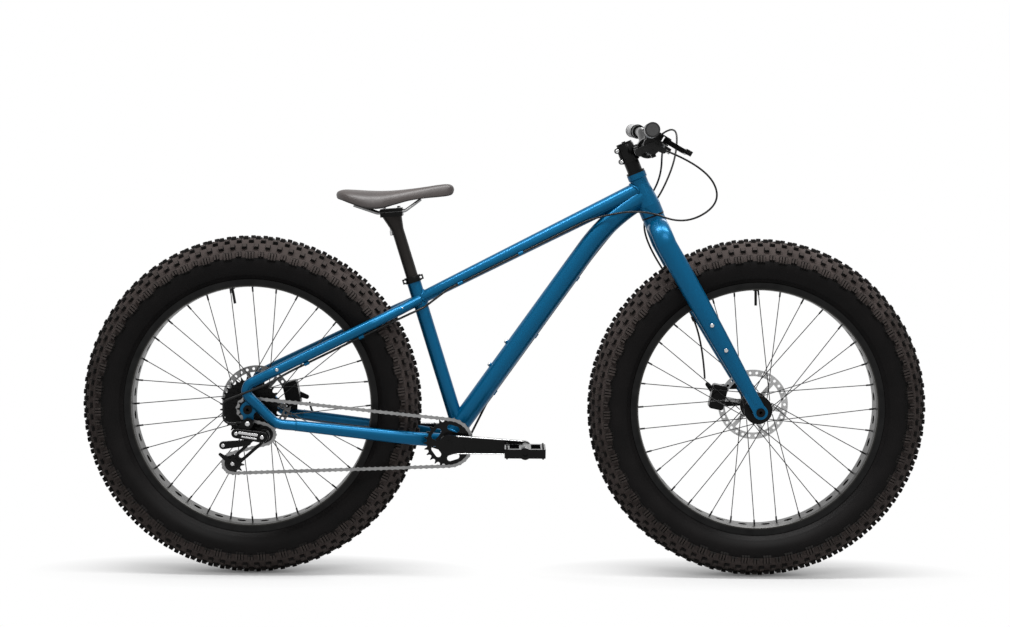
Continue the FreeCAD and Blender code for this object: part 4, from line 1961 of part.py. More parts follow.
cover_thicks = [S.saddle_thick * share for share in SADDLE_THICK_SHARES]
base_thicks = [S.base_thick for share in SADDLE_THICK_SHARES]
cover = Part.makeLoft(saddle_sections(S.base_level + S.base_thick, cover_thicks, 0, False), True, False)
base = Part.makeLoft(saddle_sections(S.base_level, base_thicks, S.base_inset, True), True, False)
rails = Part.makeCompound([rail(side) for side in SIDES])
for label, shape in (("saddle_cover", cover), ("saddle_base", base), ("saddle_rails", rails)):
    shape.Placement = saddle_frame
    piece(label, shape)
piece("saddle_clamp", saddle_clamp())

# Hand over

NODES = (
    "head_tube", "top_tube", "down_tube", "seat_tube", "bottom_bracket_shell", "chainstays",
    "seatstays", "dropouts", "headset_cups", "bottom_bracket_cups", "seat_collar", "rear_axle",
    "rear_brake_caliper", "frame_cables", "cable_guides", "derailleur_knuckles",
    "derailleur_links", "chain", "seatpost", "saddle_clamp", "saddle_rails", "saddle_base",
    "saddle_cover", "fork_crown", "fork_legs", "headset_spacers", "stem", "stem_faceplate",
    "handlebar", "grips", "brake_lever_clamps", "shifter_body", "front_axle",
    "front_brake_caliper", "front_brake_cable", "cable_loops", "right_brake_lever",
    "left_brake_lever", "shift_thumb_lever", "shift_release_lever", "front_tyre", "front_rim",
    "front_spokes", "front_hub", "front_rotor", "rear_tyre", "rear_rim", "rear_spokes",
    "rear_hub", "rear_rotor", "cassette", "crank_arms", "chainring", "right_pedal", "left_pedal",
    "derailleur_cage", "upper_jockey_wheel", "lower_jockey_wheel", "front_brake_arm",
    "rear_brake_arm",
)

doc.recompute()
for entry in doc.Objects:
    if "Invalid" in entry.State or "Error" in entry.State:
        raise RuntimeError(entry.Label + " did not build")
shapes = {label: doc.getObject(label).Shape for label in NODES}
unsound = [label for label, shape in shapes.items()
           if shape.isNull() or not shape.isValid() or not shape.Solids]
if unsound:
    raise RuntimeError("no sound solid: " + ", ".join(unsound))
os.makedirs("parts", exist_ok=True)
for label, shape in shapes.items():
    shape.exportStep("parts/" + label + ".step")
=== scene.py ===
import math

import bpy
import numpy as np
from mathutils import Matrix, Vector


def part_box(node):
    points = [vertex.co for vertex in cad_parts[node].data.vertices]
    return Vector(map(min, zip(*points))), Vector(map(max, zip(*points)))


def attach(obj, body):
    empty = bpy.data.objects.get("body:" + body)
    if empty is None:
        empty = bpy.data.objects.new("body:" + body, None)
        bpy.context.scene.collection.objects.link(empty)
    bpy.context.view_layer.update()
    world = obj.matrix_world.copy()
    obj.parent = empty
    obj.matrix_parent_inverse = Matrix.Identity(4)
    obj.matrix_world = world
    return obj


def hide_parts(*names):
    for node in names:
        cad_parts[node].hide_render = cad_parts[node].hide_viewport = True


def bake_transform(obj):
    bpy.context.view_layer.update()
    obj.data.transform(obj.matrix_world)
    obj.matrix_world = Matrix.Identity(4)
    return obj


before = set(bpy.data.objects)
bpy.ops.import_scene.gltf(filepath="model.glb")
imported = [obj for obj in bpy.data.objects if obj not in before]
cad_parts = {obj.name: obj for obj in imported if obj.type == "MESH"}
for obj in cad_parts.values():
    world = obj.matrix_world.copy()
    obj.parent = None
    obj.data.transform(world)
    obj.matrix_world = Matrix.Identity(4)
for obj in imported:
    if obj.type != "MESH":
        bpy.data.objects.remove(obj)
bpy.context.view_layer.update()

bl_info = {
    "name": "Fat Tyre Bike",
    "version": (1, 0, 0),
    "blender": (4, 5, 0),
    "location": "3D View > Sidebar > Bike",
    "description": "Tyres, saddle, cables, welds, bolts and finishes for the packed bike",
    "category": "Object",
}

# Places in metres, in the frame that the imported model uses.
REAR_AXLE = np.array((-0.570, 0.0, 0.381))
FRONT_AXLE = np.array((0.570, 0.0, 0.381))
BRACKET = np.array((-0.124266, 0.0, 0.306))
HEAD_TOP = np.array((0.291873, 0.0, 0.908737))
STEER_UP = np.array((-0.382683, 0.0, 0.923880))
SEAT_FOOT = np.array((-0.095766, 0.0, 0.306))
SEAT_TOP = np.array((-0.209979, 0.0, 0.671574))
SEAT_UP = np.array((-0.298210, 0.0, 0.954500))
TOP_SEAT = np.array((-0.194473, 0.0, 0.621940))
TOP_HEAD = np.array((0.305267, 0.0, 0.876401))
SADDLE_SEAT = np.array((-0.25715, 0.0, 0.81875))
SADDLE_UP = np.array((-0.087156, 0.0, 0.996195))
ACROSS = np.array((0.0, 1.0, 0.0))
RIGHT, LEFT = -1, 1
WHEEL_AHEAD = float(FRONT_AXLE[0])
WHEEL_HIGH = float(FRONT_AXLE[2])
BAR_AHEAD, BAR_HIGH = 0.3039, 1.0056
WHEELS = (("front", FRONT_AXLE), ("rear", REAR_AXLE))

# The routes' points. The shift cable's are the same as in the part's source; a few of the two
# brake cables' are moved, and the front one's then lie beside the fork.
SHIFT_LOOP = ((0.3373, -0.1825, 0.9642), (0.4303, -0.1615, 0.9302), (0.4783, -0.1115, 0.8502),
              (0.4003, -0.0605, 0.7952), (0.3053, -0.0405, 0.8302), (0.1967, -0.0182, 0.8096),
              (0.169945, -0.018013, 0.796107))
BRAKE_LOOP = ((0.3444, -0.1930, 0.9821), (0.3424, -0.1100, 0.9701), (0.3474, -0.0220, 0.9031),
              (0.3234, 0.0480, 0.8461), (0.2554, 0.0380, 0.7901), (0.19814, 0.01295, 0.72095),
              (0.18076, 0.01295, 0.69649))
FRONT_LOOP = ((0.3444, 0.1930, 0.9821), (0.3914, 0.1280, 1.0300), (0.3904, 0.0810, 0.9481),
              (0.350838, 0.0580, 0.855229), (0.317500, 0.0670, 0.820800),
              (0.315900, 0.0740, 0.759100), (0.390390, 0.0790, 0.640880),
              (0.452370, 0.0830, 0.549820), (0.460459, 0.0788, 0.437303))
FRONT_CLIP = np.array((0.42989, 0.08183, 0.57408))


def linear(red, green, blue):
    """Screen colour levels 0 to 255 as the linear colour that shaders use, with alpha 1."""
    level = np.array((red, green, blue), float) / 255
    out = np.where(level <= 0.04045, level / 12.92, ((level + 0.055) / 1.055) ** 2.4)
    return (*out.tolist(), 1.0)


def unit(vectors):
    """Vectors divided by their own lengths."""
    return vectors / np.linalg.norm(vectors, axis=-1, keepdims=True)


def full_turn(count):
    """Angles evenly round a circle."""
    return np.linspace(0, 2 * np.pi, count, endpoint=False)


def axis_frame(way):
    """A unit axis and two units square to it and to each other."""
    way = unit(np.asarray(way, float))
    side = unit(np.cross(way, (0.31, 0.52, 0.79)))
    return way, side, np.cross(way, side)


def smooth_line(knots, count):
    """A curve through knots: cubic pieces whose slopes are half the step between neighbours."""
    knots = np.asarray(knots, float)
    slope = np.gradient(knots, axis=0)
    at = np.linspace(0, len(knots) - 1, count)
    low = np.minimum(at.astype(int), len(knots) - 2)
    part = (at - low)[:, None]
    first, last = knots[low], knots[low + 1]
    return (first * (1 + 2 * part) * (1 - part) ** 2 + slope[low] * part * (1 - part) ** 2
            + last * part ** 2 * (3 - 2 * part) + slope[low + 1] * part ** 2 * (part - 1))


def grid_faces(rows, columns, wrap_rows=False, wrap_columns=True):
    """Four-cornered faces between neighbouring points of a grid, closed where it wraps."""
    row = np.arange(rows if wrap_rows else rows - 1)[:, None]
    column = np.arange(columns if wrap_columns else columns - 1)[None, :]
    near, far = row * columns, (row + 1) % rows * columns
    here, next_one = column, (column + 1) % columns
    return np.stack(np.broadcast_arrays(near + here, near + next_one, far + next_one,
                                        far + here), -1).reshape(-1, 4)


def fan_faces(ring, centre, turn=False):
    """Three-cornered faces from a ring's edges to one point."""
    ring = np.asarray(ring)
    first, second = (np.roll(ring, -1), ring) if turn else (ring, np.roll(ring, -1))
    return np.stack((first, second, np.full(len(ring), centre)), -1)


def closed_rings(rings, first, last, flip=False):
    """A skin over a stack of rings, each end closed to one point; flip turns its faces round."""
    rows, sides = rings.shape[:2]
    count = rows * sides
    points = np.concatenate((rings.reshape(-1, 3), np.stack((first, last))))
    faces = [grid_faces(rows, sides), fan_faces(np.arange(sides), count, True),
             fan_faces(np.arange(count - sides, count), count + 1)]
    return points, [face[:, ::-1] for face in faces] if flip else faces


def put_mesh(name, points, face_sets, sharp=None):
    """A mesh object at the origin from an array of points and arrays of faces."""
    mesh = bpy.data.meshes.new(name)
    faces = [face for face_set in face_sets for face in face_set.tolist()]
    mesh.from_pydata(points.tolist(), [], faces)
    mesh.polygons.foreach_set("use_smooth", np.ones(len(mesh.polygons), bool))
    if sharp is not None:
        mesh.set_sharp_from_angle(angle=math.radians(sharp))
    mesh.update()
    piece = bpy.data.objects.new(name, mesh)
    bpy.context.collection.objects.link(piece)
    return piece


def merged(parts):
    """Several (points, face arrays) pairs as one pair."""
    points, faces, start = [], [], 0
    for part_points, part_faces in parts:
        points.append(part_points)
        faces += [face_set + start for face_set in part_faces]
        start += len(part_points)
    return np.concatenate(points), faces


def swept_tube(path, radius, sides):
    """A round section carried along a path, each ring across the path's direction there.

    The flattest direction of the whole path sets how the rings are turned.
    """
    path = np.asarray(path, float)
    way = unit(np.gradient(path, axis=0))
    spread = np.linalg.svd(path - path.mean(0))[2][2]
    side = unit(np.cross(way, spread))
    up = np.cross(side, way)
    turn = full_turn(sides)[None, :, None]
    rings = path[:, None] + radius * (np.cos(turn) * side[:, None] + np.sin(turn) * up[:, None])
    return closed_rings(rings, path[0], path[-1], True)


def turned(profile, start, way, sides):
    """A profile of (distance along, radius) turned round an axis, closed at both ends."""
    profile = np.asarray(profile, float)
    way, side, up = axis_frame(way)
    turn = full_turn(sides)[None, :, None]
    along = start + profile[:, 0, None] * way
    rings = along[:, None] + profile[:, 1, None, None] * (np.cos(turn) * side + np.sin(turn) * up)
    return closed_rings(rings, along[0], along[-1])


def cord_line(points, steps):
    """Points of a NURBS spline of order 3 that has the route's points as control points."""
    curve = bpy.data.curves.new("route", "CURVE")
    curve.dimensions = "3D"
    curve.resolution_u = steps
    spline = curve.splines.new("NURBS")
    spline.points.add(len(points) - 1)
    spline.points.foreach_set("co", np.c_[np.array(points), np.ones(len(points))].ravel())
    spline.order_u = 3
    spline.use_endpoint_u = True
    holder = bpy.data.objects.new("route", curve)
    line = bpy.data.meshes.new_from_object(holder)
    places = np.empty(len(line.vertices) * 3)
    line.vertices.foreach_get("co", places)
    bpy.data.objects.remove(holder)
    bpy.data.curves.remove(curve)
    bpy.data.meshes.remove(line)
    return places.reshape(-1, 3)


class Field:
    """A node's output socket; arithmetic on it adds Math nodes."""

    def __init__(self, finish, socket):
        self.finish, self.socket = finish, socket

    def maths(self, operation, first, second):
        return self.finish.node("ShaderNodeMath", {"operation": operation}, {0: first, 1: second})

    def __add__(self, other):
        return self.maths("ADD", self, other)

    def __sub__(self, other):
        return self.maths("SUBTRACT", self, other)

    def __rsub__(self, other):
        return self.maths("SUBTRACT", other, self)

    def __mul__(self, other):
        return self.maths("MULTIPLY", self, other)

    def __pow__(self, other):
        return self.maths("POWER", self, other)

    __radd__, __rmul__ = __add__, __mul__

    def wave(self):
        return self.maths("SINE", self, 0)

    def limited(self, low, high):
        """Nought below low, one above high and a straight slope between them."""
        return self.finish.node("ShaderNodeMapRange", {}, {0: self, 1: low, 2: high})


def diagonal(first, second):
    """The distance that two sides square to each other span."""
    return (first * first + second * second) ** 0.5


class Finish:
    """A material, or a world, whose nodes are added by method calls."""

    def __init__(self, name, kind="materials"):
        self.owner = getattr(bpy.data, kind).new(name)
        self.owner.use_nodes = True
        self.tree = self.owner.node_tree
        self.shader = self.tree.nodes.get("Principled BSDF")

    def node(self, kind, settings, inputs, output=0):
        """Any node: its type, its settings, then the values or links of its sockets."""
        made = self.tree.nodes.new(kind)
        for key, value in settings.items():
            if key == "stops":
                self.set_stops(made.color_ramp, value)
            else:
                setattr(made, key, value)
        for key, value in inputs.items():
            self.feed(made.inputs[key], value)
        return Field(self, made.outputs[output])

    def set_stops(self, ramp, stops):
        while len(ramp.elements) < len(stops):
            ramp.elements.new(0.5)
        for element, (place, colour) in zip(ramp.elements, stops):
            element.position, element.color = place, colour

    def feed(self, socket, value):
        if isinstance(value, Field):
            self.tree.links.new(value.socket, socket)
        else:
            socket.default_value = value

    def places(self):
        """The surface's Object coordinates."""
        return self.node("ShaderNodeTexCoord", {}, {}, "Object")

    def along(self, name):
        """One axis of the Object coordinates, in metres."""
        return self.node("ShaderNodeSeparateXYZ", {}, {0: self.places()}, name)

    def off_middle(self, name):
        """Distance from the plane through the origin across one axis."""
        return self.node("ShaderNodeMath", {"operation": "ABSOLUTE"}, {0: self.along(name)})

    def from_axle(self, axle):
        """Distance from a wheel's axle."""
        return diagonal(self.along("X") - float(axle[0]), self.along("Z") - float(axle[2]))

    def seen(self):
        """One for rays from the eye, in mirrors and through clear things; nought for others."""
        eye, mirror, clear = (self.node("ShaderNodeLightPath", {}, {}, f"Is {kind} Ray")
                              for kind in ("Camera", "Glossy", "Transmission"))
        return (eye + mirror + clear).limited(0.0, 1.0)

    def surface(self, shown):
        """Makes a shader the one that the output shows."""
        output = next(node for node in self.tree.nodes
                      if node.bl_idname.startswith("ShaderNodeOutput"))
        self.tree.links.new(shown.socket, output.inputs["Surface"])
        return self.owner

    def noise(self, scale, detail=3.0, stretch=None):
        """Soft noise from 0 to 1; stretch scales the three axes apart."""
        where = self.places()
        if stretch:
            where = self.node("ShaderNodeMapping", {}, {"Vector": where, "Scale": stretch})
        return self.node("ShaderNodeTexNoise", {},
                         {"Vector": where, "Scale": scale, "Detail": detail}, "Fac")

    def cells(self, scale, output="Distance"):
        """Cells round scattered points: the distance to the nearest, or a colour of its own."""
        return self.node("ShaderNodeTexVoronoi", {}, {"Vector": self.places(), "Scale": scale},
                         output)

    def mixed(self, first, second, share):
        """One colour turning into another with share."""
        return self.node("ShaderNodeMix", {"data_type": "RGBA"}, {0: share, 6: first, 7: second}, 2)

    def bump(self, height, strength, distance):
        """The surface's normal, tilted by a height."""
        return self.node("ShaderNodeBump", {},
                         {"Height": height, "Strength": strength, "Distance": distance})

    def skin(self, **sockets):
        """Values or links for the shader's own sockets, by their names."""
        for key, value in sockets.items():
            self.feed(self.shader.inputs[key.replace("_", " ")], value)
        return self.owner


def paint_finish(name, colour):
    """Gloss metallic paint: fine flake and a soft cloud of tone under clear coat."""
    make = Finish(name)
    flake = make.cells(3600.0, "Color")
    spark = make.node("ShaderNodeSeparateXYZ", {}, {0: flake}, 0)
    cloud = make.noise(9.0)
    deep = tuple(value * 0.88 for value in colour[:3]) + (1.0,)
    light = tuple(value * 1.08 for value in colour[:3]) + (1.0,)
    return make.skin(Base_Color=make.mixed(deep, light, spark * 0.5 + cloud * 0.4),
                     Metallic=0.5, Roughness=spark * 0.05 + 0.30, Specular_IOR_Level=0.05,
                     Coat_Weight=0.15, Coat_Roughness=0.26)


def metal_finish(name, dark, light, metallic, rough, grain, coat=0.0):
    """Worked metal: cloudy tone, fine scratches along the length and small pits."""
    make = Finish(name)
    cloud = make.noise(38.0)
    grit = make.noise(grain, 4.0)
    scratch = make.noise(grain * 0.5, 2.0, (0.12, 1.0, 1.0))
    return make.skin(Base_Color=make.mixed(dark, light, cloud * 0.6 + grit * 0.4),
                     Metallic=metallic, Roughness=grit * 0.14 + (rough - 0.07), Coat_Weight=coat,
                     Normal=make.bump(scratch + grit, 0.12, 0.0004))


def rim_finish(name, axle, dark, light, edge):
    """Black rim with a lighter narrow ring round the axle at its inner edge."""
    make = Finish(name)
    reach = make.from_axle(axle)
    inside = reach.limited(0.2663, 0.2669) * (1.0 - reach.limited(0.2722, 0.2730))
    cloud = make.noise(40.0)
    fine = make.noise(700.0)
    return make.skin(Base_Color=make.mixed(make.mixed(dark, light, cloud), edge, inside),
                     Metallic=0.92, Roughness=fine * 0.12 + 0.30,
                     Normal=make.bump(fine, 0.08, 0.0004))


def ring_finish(name, axle, dark, light, rough):
    """Turned metal: fine rings round an axle, over a cloudy tone."""
    make = Finish(name)
    rings = (make.from_axle(axle) * 5200.0).wave() * 0.5 + 0.5
    cloud = make.noise(60.0)
    return make.skin(Base_Color=make.mixed(dark, light, cloud * 0.7 + rings * 0.3),
                     Metallic=1.0, Roughness=cloud * 0.16 + (rough - 0.08),
                     Normal=make.bump(rings, 0.08, 0.0003))


def rubber_finish(name, dark, light, rough, grain):
    """Moulded rubber: dusty patches and a fine grain."""
    make = Finish(name)
    dust = make.noise(16.0, 6.0)
    fine = make.noise(grain, 4.0)
    tone = (dust * 0.75 + fine * 0.35).limited(0.3, 0.8)
    return make.skin(Base_Color=make.mixed(dark, light, tone),
                     Roughness=fine * 0.2 + (rough - 0.1), Specular_IOR_Level=0.1,
                     Normal=make.bump(fine, 0.25, 0.0005))


def sidewall_finish(name, dark, light):
    """Satin tyre wall: faint rings round both axles and rubbed patches."""
    make = Finish(name)
    reach = diagonal(make.off_middle("X") - WHEEL_AHEAD, make.along("Z") - WHEEL_HIGH)
    rings = (reach * 2600.0).wave() * 0.5 + 0.5
    rub = make.noise(20.0, 5.0)
    fine = make.noise(900.0)
    tone = (rub * 0.8 + rings * 0.2).limited(0.35, 0.85)
    return make.skin(Base_Color=make.mixed(dark, light, tone),
                     Roughness=rub * 0.2 + 0.36, Specular_IOR_Level=0.08,
                     Normal=make.bump(rings * 0.4 + fine, 0.14, 0.0005))


def plastic_finish(name, dark, light, rough):
    """Moulded plastic: an even spark texture."""
    make = Finish(name)
    spark = make.cells(1500.0)
    cloud = make.noise(45.0)
    return make.skin(Base_Color=make.mixed(dark, light, cloud),
                     Roughness=cloud * 0.12 + (rough - 0.06), Specular_IOR_Level=0.2,
                     Normal=make.bump(spark, 0.18, 0.0004))


def grip_finish(name, body, cap, band):
    """Grey grip with black bands and a darker cap, laid out by distance from the middle plane."""
    make = Finish(name)
    out = make.off_middle("Y")
    off_bar = diagonal(make.along("X") - BAR_AHEAD, make.along("Z") - BAR_HIGH)
    rim = off_bar.limited(0.0125, 0.0128)
    inner = (1.0 - out.limited(0.2440, 0.2445) + out.limited(0.2500, 0.2505)
             - out.limited(0.2560, 0.2565))
    outer = out.limited(0.3560, 0.3565)
    end = out.limited(0.3672, 0.3676) * (1.0 - rim)
    fine = make.noise(900.0, 4.0)
    dust = make.noise(30.0)
    tone = make.mixed(body, tuple(value * 0.8 for value in body[:3]) + (1.0,), dust)
    tone = make.mixed(tone, band, (inner + outer).limited(0.0, 1.0))
    return make.skin(Base_Color=make.mixed(tone, cap, end), Roughness=fine * 0.2 + 0.5,
                     Specular_IOR_Level=0.3, Normal=make.bump(fine, 0.2, 0.0005))


def leather_finish(name, dark, light):
    """Coated cover: pebbled grain with creases, paler in soft patches and where the grain is
    raised.
    """
    make = Finish(name)
    pebble = make.cells(420.0)
    crease = make.noise(130.0, 5.0)
    wear = make.noise(14.0, 4.0)
    grain = pebble * 0.7 + crease * 0.5
    tone = (wear * 0.8 + pebble * 0.5).limited(0.3, 0.9)
    return make.skin(Base_Color=make.mixed(dark, light, tone),
                     Roughness=crease * 0.16 + 0.40, Normal=make.bump(grain, 0.06, 0.0004))


def grey(level):
    """A neutral screen level as a linear colour."""
    return linear(level, level, level)


def make_finishes(look):
    """Every finish of the bike by name."""
    blue = linear(*(round(255 * value) for value in look.paint))
    return {
        "paint": paint_finish("frame_paint", blue),
        "black": metal_finish("black_metal", grey(12), grey(26), 0.92, 0.36, 700.0),
        "gloss": metal_finish("gloss_black", grey(9), grey(18), 0.9, 0.25, 500.0, 0.08),
        "post": metal_finish("post_black", linear(26, 24, 23), linear(40, 37, 35), 0.85, 0.42,
                             600.0),
        "dark": metal_finish("dark_steel", grey(58), grey(92), 0.9, 0.40, 800.0),
        "chain": metal_finish("chain_steel", grey(96), grey(165), 1.0, 0.34, 900.0),
        "bright": metal_finish("bright_steel", grey(165), grey(205), 1.0, 0.28, 900.0),
        "front_rotor": ring_finish("front_rotor", FRONT_AXLE, grey(150), grey(195), 0.32),
        "rear_rotor": ring_finish("rear_rotor", REAR_AXLE, grey(110), grey(150), 0.34),
        "front_rim": rim_finish("front_rim", FRONT_AXLE, grey(16), grey(34), linear(48, 47, 45)),
        "rear_rim": rim_finish("rear_rim", REAR_AXLE, grey(16), grey(34), linear(48, 47, 45)),
        "spoke": metal_finish("spoke_black", grey(30), grey(52), 0.8, 0.36, 900.0),
        "tread": rubber_finish("tread_rubber", linear(42, 37, 35), linear(66, 59, 57), 0.80, 700.0),
        # The knob rubber, far darker than the knob tops', goes on the blocks' side faces: painted
        # shade on the sides.
        "knob": rubber_finish("knob_side_painted_shade_rubber", linear(10, 9, 9), linear(22, 20, 19), 0.76, 800.0),
        "knob_top": rubber_finish("knob_top_rubber", linear(38, 34, 32), linear(60, 54, 52), 0.78,
                                  800.0),
        "wall": sidewall_finish("tyre_wall", linear(8, 7, 7), linear(17, 15, 15)),
        "grip": grip_finish("grip_rubber", grey(150), grey(58), grey(14)),
        "plastic": plastic_finish("black_plastic", grey(10), grey(19), 0.40),
        "sheath": plastic_finish("cable_sheath", grey(14), grey(24), 0.32),
        "cover": leather_finish("saddle_cover", linear(30, 26, 25), linear(54, 47, 45)),
    }


NODE_FINISH = {
    "paint": "head_tube top_tube down_tube seat_tube bottom_bracket_shell chainstays seatstays "
             "dropouts fork_crown fork_legs cable_guides",
    "black": "headset_cups bottom_bracket_cups seat_collar rear_brake_caliper front_brake_caliper "
             "front_hub rear_hub rear_axle front_axle derailleur_knuckles derailleur_links "
             "headset_spacers brake_lever_clamps derailleur_cage rear_brake_arm front_brake_arm "
             "saddle_clamp cassette",
    "gloss": "stem stem_faceplate handlebar crank_arms chainring right_pedal left_pedal "
             "right_brake_lever left_brake_lever",
    "post": "seatpost",
    "chain": "chain saddle_rails",
    "front_rotor": "front_rotor",
    "rear_rotor": "rear_rotor",
    "front_rim": "front_rim",
    "rear_rim": "rear_rim",
    "spoke": "front_spokes rear_spokes",
    "wall": "front_tyre rear_tyre",
    "grip": "grips",
    "plastic": "saddle_base shifter_body shift_thumb_lever shift_release_lever "
               "upper_jockey_wheel lower_jockey_wheel",
    "sheath": "frame_cables front_brake_cable cable_loops",
    "cover": "saddle_cover",
}

# Solid parts whose edges get a small round, with its width in metres.
NODE_ROUND = {
    "stem": 0.0016, "stem_faceplate": 0.0012, "crank_arms": 0.0016, "right_brake_lever": 0.0018,
    "left_brake_lever": 0.0018, "rear_brake_caliper": 0.0014, "front_brake_caliper": 0.0014,
    "derailleur_knuckles": 0.0012, "derailleur_links": 0.0010, "right_pedal": 0.0010,
    "left_pedal": 0.0010, "seat_collar": 0.0010, "shifter_body": 0.0016,
    "brake_lever_clamps": 0.0010, "shift_thumb_lever": 0.0012, "shift_release_lever": 0.0010,
    "saddle_clamp": 0.0010, "dropouts": 0.0012, "front_brake_arm": 0.0008,
    "rear_brake_arm": 0.0008,
}

FINISHES = {}


class TyreSizes(bpy.types.PropertyGroup):
    """Sizes of the two tyres."""
    crown: bpy.props.FloatProperty(name="Crown radius", description="Casing radius at its middle",
                                   default=0.3757, unit="LENGTH")
    knob: bpy.props.FloatProperty(name="Knob height", description="Height of the tread blocks",
                                  default=0.0070, unit="LENGTH")
    pitch_count: bpy.props.IntProperty(name="Blocks in a row",
                                       description="Tread blocks round the wheel", default=86,
                                       min=40, max=120)
    around: bpy.props.IntProperty(name="Steps round", description="Points round the casing",
                                  default=344, min=90, max=600)


class CableSizes(bpy.types.PropertyGroup):
    """Sizes of the three cables that leave the handlebar."""
    radius: bpy.props.FloatProperty(name="Radius", description="Outside radius of the sheath",
                                    default=0.0022, unit="LENGTH")
    steps: bpy.props.IntProperty(name="Steps", description="Points for each control point",
                                 default=24, min=6, max=60)


class BikeLook(bpy.types.PropertyGroup):
    """Colours that a user would change."""
    paint: bpy.props.FloatVectorProperty(name="Paint", description="Frame paint as a screen colour",
                                         subtype="COLOR_GAMMA", size=3, default=(0.0, 0.310, 0.455),
                                         min=0.0, max=1.0)


class StageSizes(bpy.types.PropertyGroup):
    """The camera's lens, pitch, roll and place."""
    lens: bpy.props.FloatProperty(name="Lens", description="Focal length in millimetres",
                                  default=79.1, min=20.0, max=300.0)
    pitch: bpy.props.FloatProperty(name="Pitch", description="How far the camera looks down",
                                   default=math.radians(4.52), subtype="ANGLE")
    roll: bpy.props.FloatProperty(name="Roll", description="How far the camera leans",
                                  default=math.radians(-0.397), subtype="ANGLE")
    place: bpy.props.FloatVectorProperty(name="Place", description="The camera's place", size=3,
                                         default=(-0.003, -5.0, 0.986), subtype="TRANSLATION",
                                         unit="LENGTH")


def finish_piece(piece, finish, body):
    """Gives a piece its finish and the body that it moves with."""
    for one in (finish if isinstance(finish, tuple) else (finish,)):
        piece.data.materials.append(FINISHES[one])
    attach(piece, body)
    return piece


class DressNodes(bpy.types.Operator):
    """Give every solid part its finish, and small rounds to the worked edges"""
    bl_idname = "bike.dress_nodes"
    bl_label = "Dress the solid parts"

    def execute(self, context):
        FINISHES.update(make_finishes(context.scene.bike_look))
        for finish, names in NODE_FINISH.items():
            for name in names.split():
                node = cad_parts[name]
                node.data.materials.clear()
                node.data.materials.append(FINISHES[finish])
        for name, width in NODE_ROUND.items():
            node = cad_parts[name]
            weld = node.modifiers.new("Weld", "WELD")
            weld.merge_threshold = 0.00002
            bevel = node.modifiers.new("Round", "BEVEL")
            bevel.width, bevel.segments = width, 2
            bevel.limit_method, bevel.angle_limit = "ANGLE", math.radians(40)
            bevel.harden_normals = True
        return {"FINISHED"}


# The front cable's clip: distance along the cable and radius.
CLIP_PROFILE = ((0.0, 0.0034), (0.0008, 0.0042), (0.0112, 0.0042), (0.0120, 0.0034))


class RouteCables(bpy.types.Operator):
    """Lay the two cables that loop from the handlebar to the frame, and the front brake's"""
    bl_idname = "bike.route_cables"
    bl_label = "Cable loops"

    def execute(self, context):
        sizes = context.scene.bike_cables
        pieces = []
        for name, route in (("shift_cable_loop", SHIFT_LOOP), ("brake_cable_loop", BRAKE_LOOP)):
            piece = self.lay(name, route, sizes)
            piece.data.materials.append(FINISHES["sheath"])
            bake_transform(piece)
            pieces.append(piece)
        for piece in pieces:
            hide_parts("cable_loops")
        front = finish_piece(self.lay("front_brake_loop", FRONT_LOOP, sizes), "sheath",
                             "steering")
        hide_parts("front_brake_cable")
        line = cord_line(FRONT_LOOP, sizes.steps)
        near = np.argmin(np.linalg.norm(line - FRONT_CLIP, axis=1))
        way = unit(line[near + 1] - line[near - 1])
        points, faces = turned(CLIP_PROFILE, line[near] - way * CLIP_PROFILE[-1][0] / 2, way, 24)
        clip = finish_piece(put_mesh("front_cable_clip", points, faces, 40), "sheath",
                            "steering")
        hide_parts("front_brake_cable")
        return {"FINISHED"}

    def lay(self, name, route, sizes):
        """A tube along a route's spline."""
        line = cord_line(route, sizes.steps)
        points, faces = swept_tube(line, sizes.radius, 12)
        piece = put_mesh(name, points, faces)
        return piece


# Half of the casing's section: across and radius, from a bead to the crown.
TYRE_HALF = ((0.0362, 0.2752), (0.0372, 0.2800), (0.0384, 0.2862), (0.0440, 0.2925),
             (0.0520, 0.3020), (0.0570, 0.3130), (0.0583, 0.3240), (0.0566, 0.3360),
             (0.0520, 0.3475), (0.0447, 0.3575), (0.0345, 0.3660), (0.0220, 0.3718),
             (0.0100, 0.3741), (0.0, 0.3745))
TYRE_WALL = 0.0032
TREAD_EDGE = 0.3380
WALL, TREAD, KNOB_SIDE_SHADE, KNOB_TOP = range(4)
# Each block's eight side faces and its root take the dark knob rubber, and its top the lighter
# knob-top rubber: the dark sides are painted shade.
BLOCK_KINDS = [KNOB_SIDE_SHADE] * 8 + [KNOB_TOP, KNOB_SIDE_SHADE]


def tyre_section(count, crown):
    """Points (across, radius) of the casing's outside, from one bead over the crown to the other.

    A square law of the height above the bead carries the crown out to its radius.
    """
    half = np.array(TYRE_HALF)
    share = (half[:, 1] - half[0, 1]) / (half[-1, 1] - half[0, 1])
    half[:, 1] += (crown - half[-1, 1]) * share ** 2
    both = np.concatenate((half, half[-2::-1] * (-1, 1)))
    section = smooth_line(both, count)
    ridge = np.exp(-((section[:, 1] - 0.2965) / 0.0011) ** 2) * 0.0009
    ridge += np.exp(-((section[:, 1] - 0.3370) / 0.0009) ** 2) * 0.0009
    section[:, 0] += np.sign(section[:, 0]) * ridge
    return section


def block_template(lean):
    """A tread block's corners on the unit square at its root and, drawn in by lean, at its top."""
    corner = np.array(((-1, -1), (1, -1), (1, 1), (-1, 1)), float) / 2
    low = np.c_[corner, np.full(4, -0.35)]
    high = np.c_[corner * (1 - lean), np.full(4, 1.0)]
    edge = np.c_[corner * (1 - lean * 0.45), np.full(4, 0.86)]
    faces = np.concatenate((grid_faces(3, 4), [[8, 9, 10, 11]], [[3, 2, 1, 0]]))
    return np.concatenate((low, edge, high)), faces


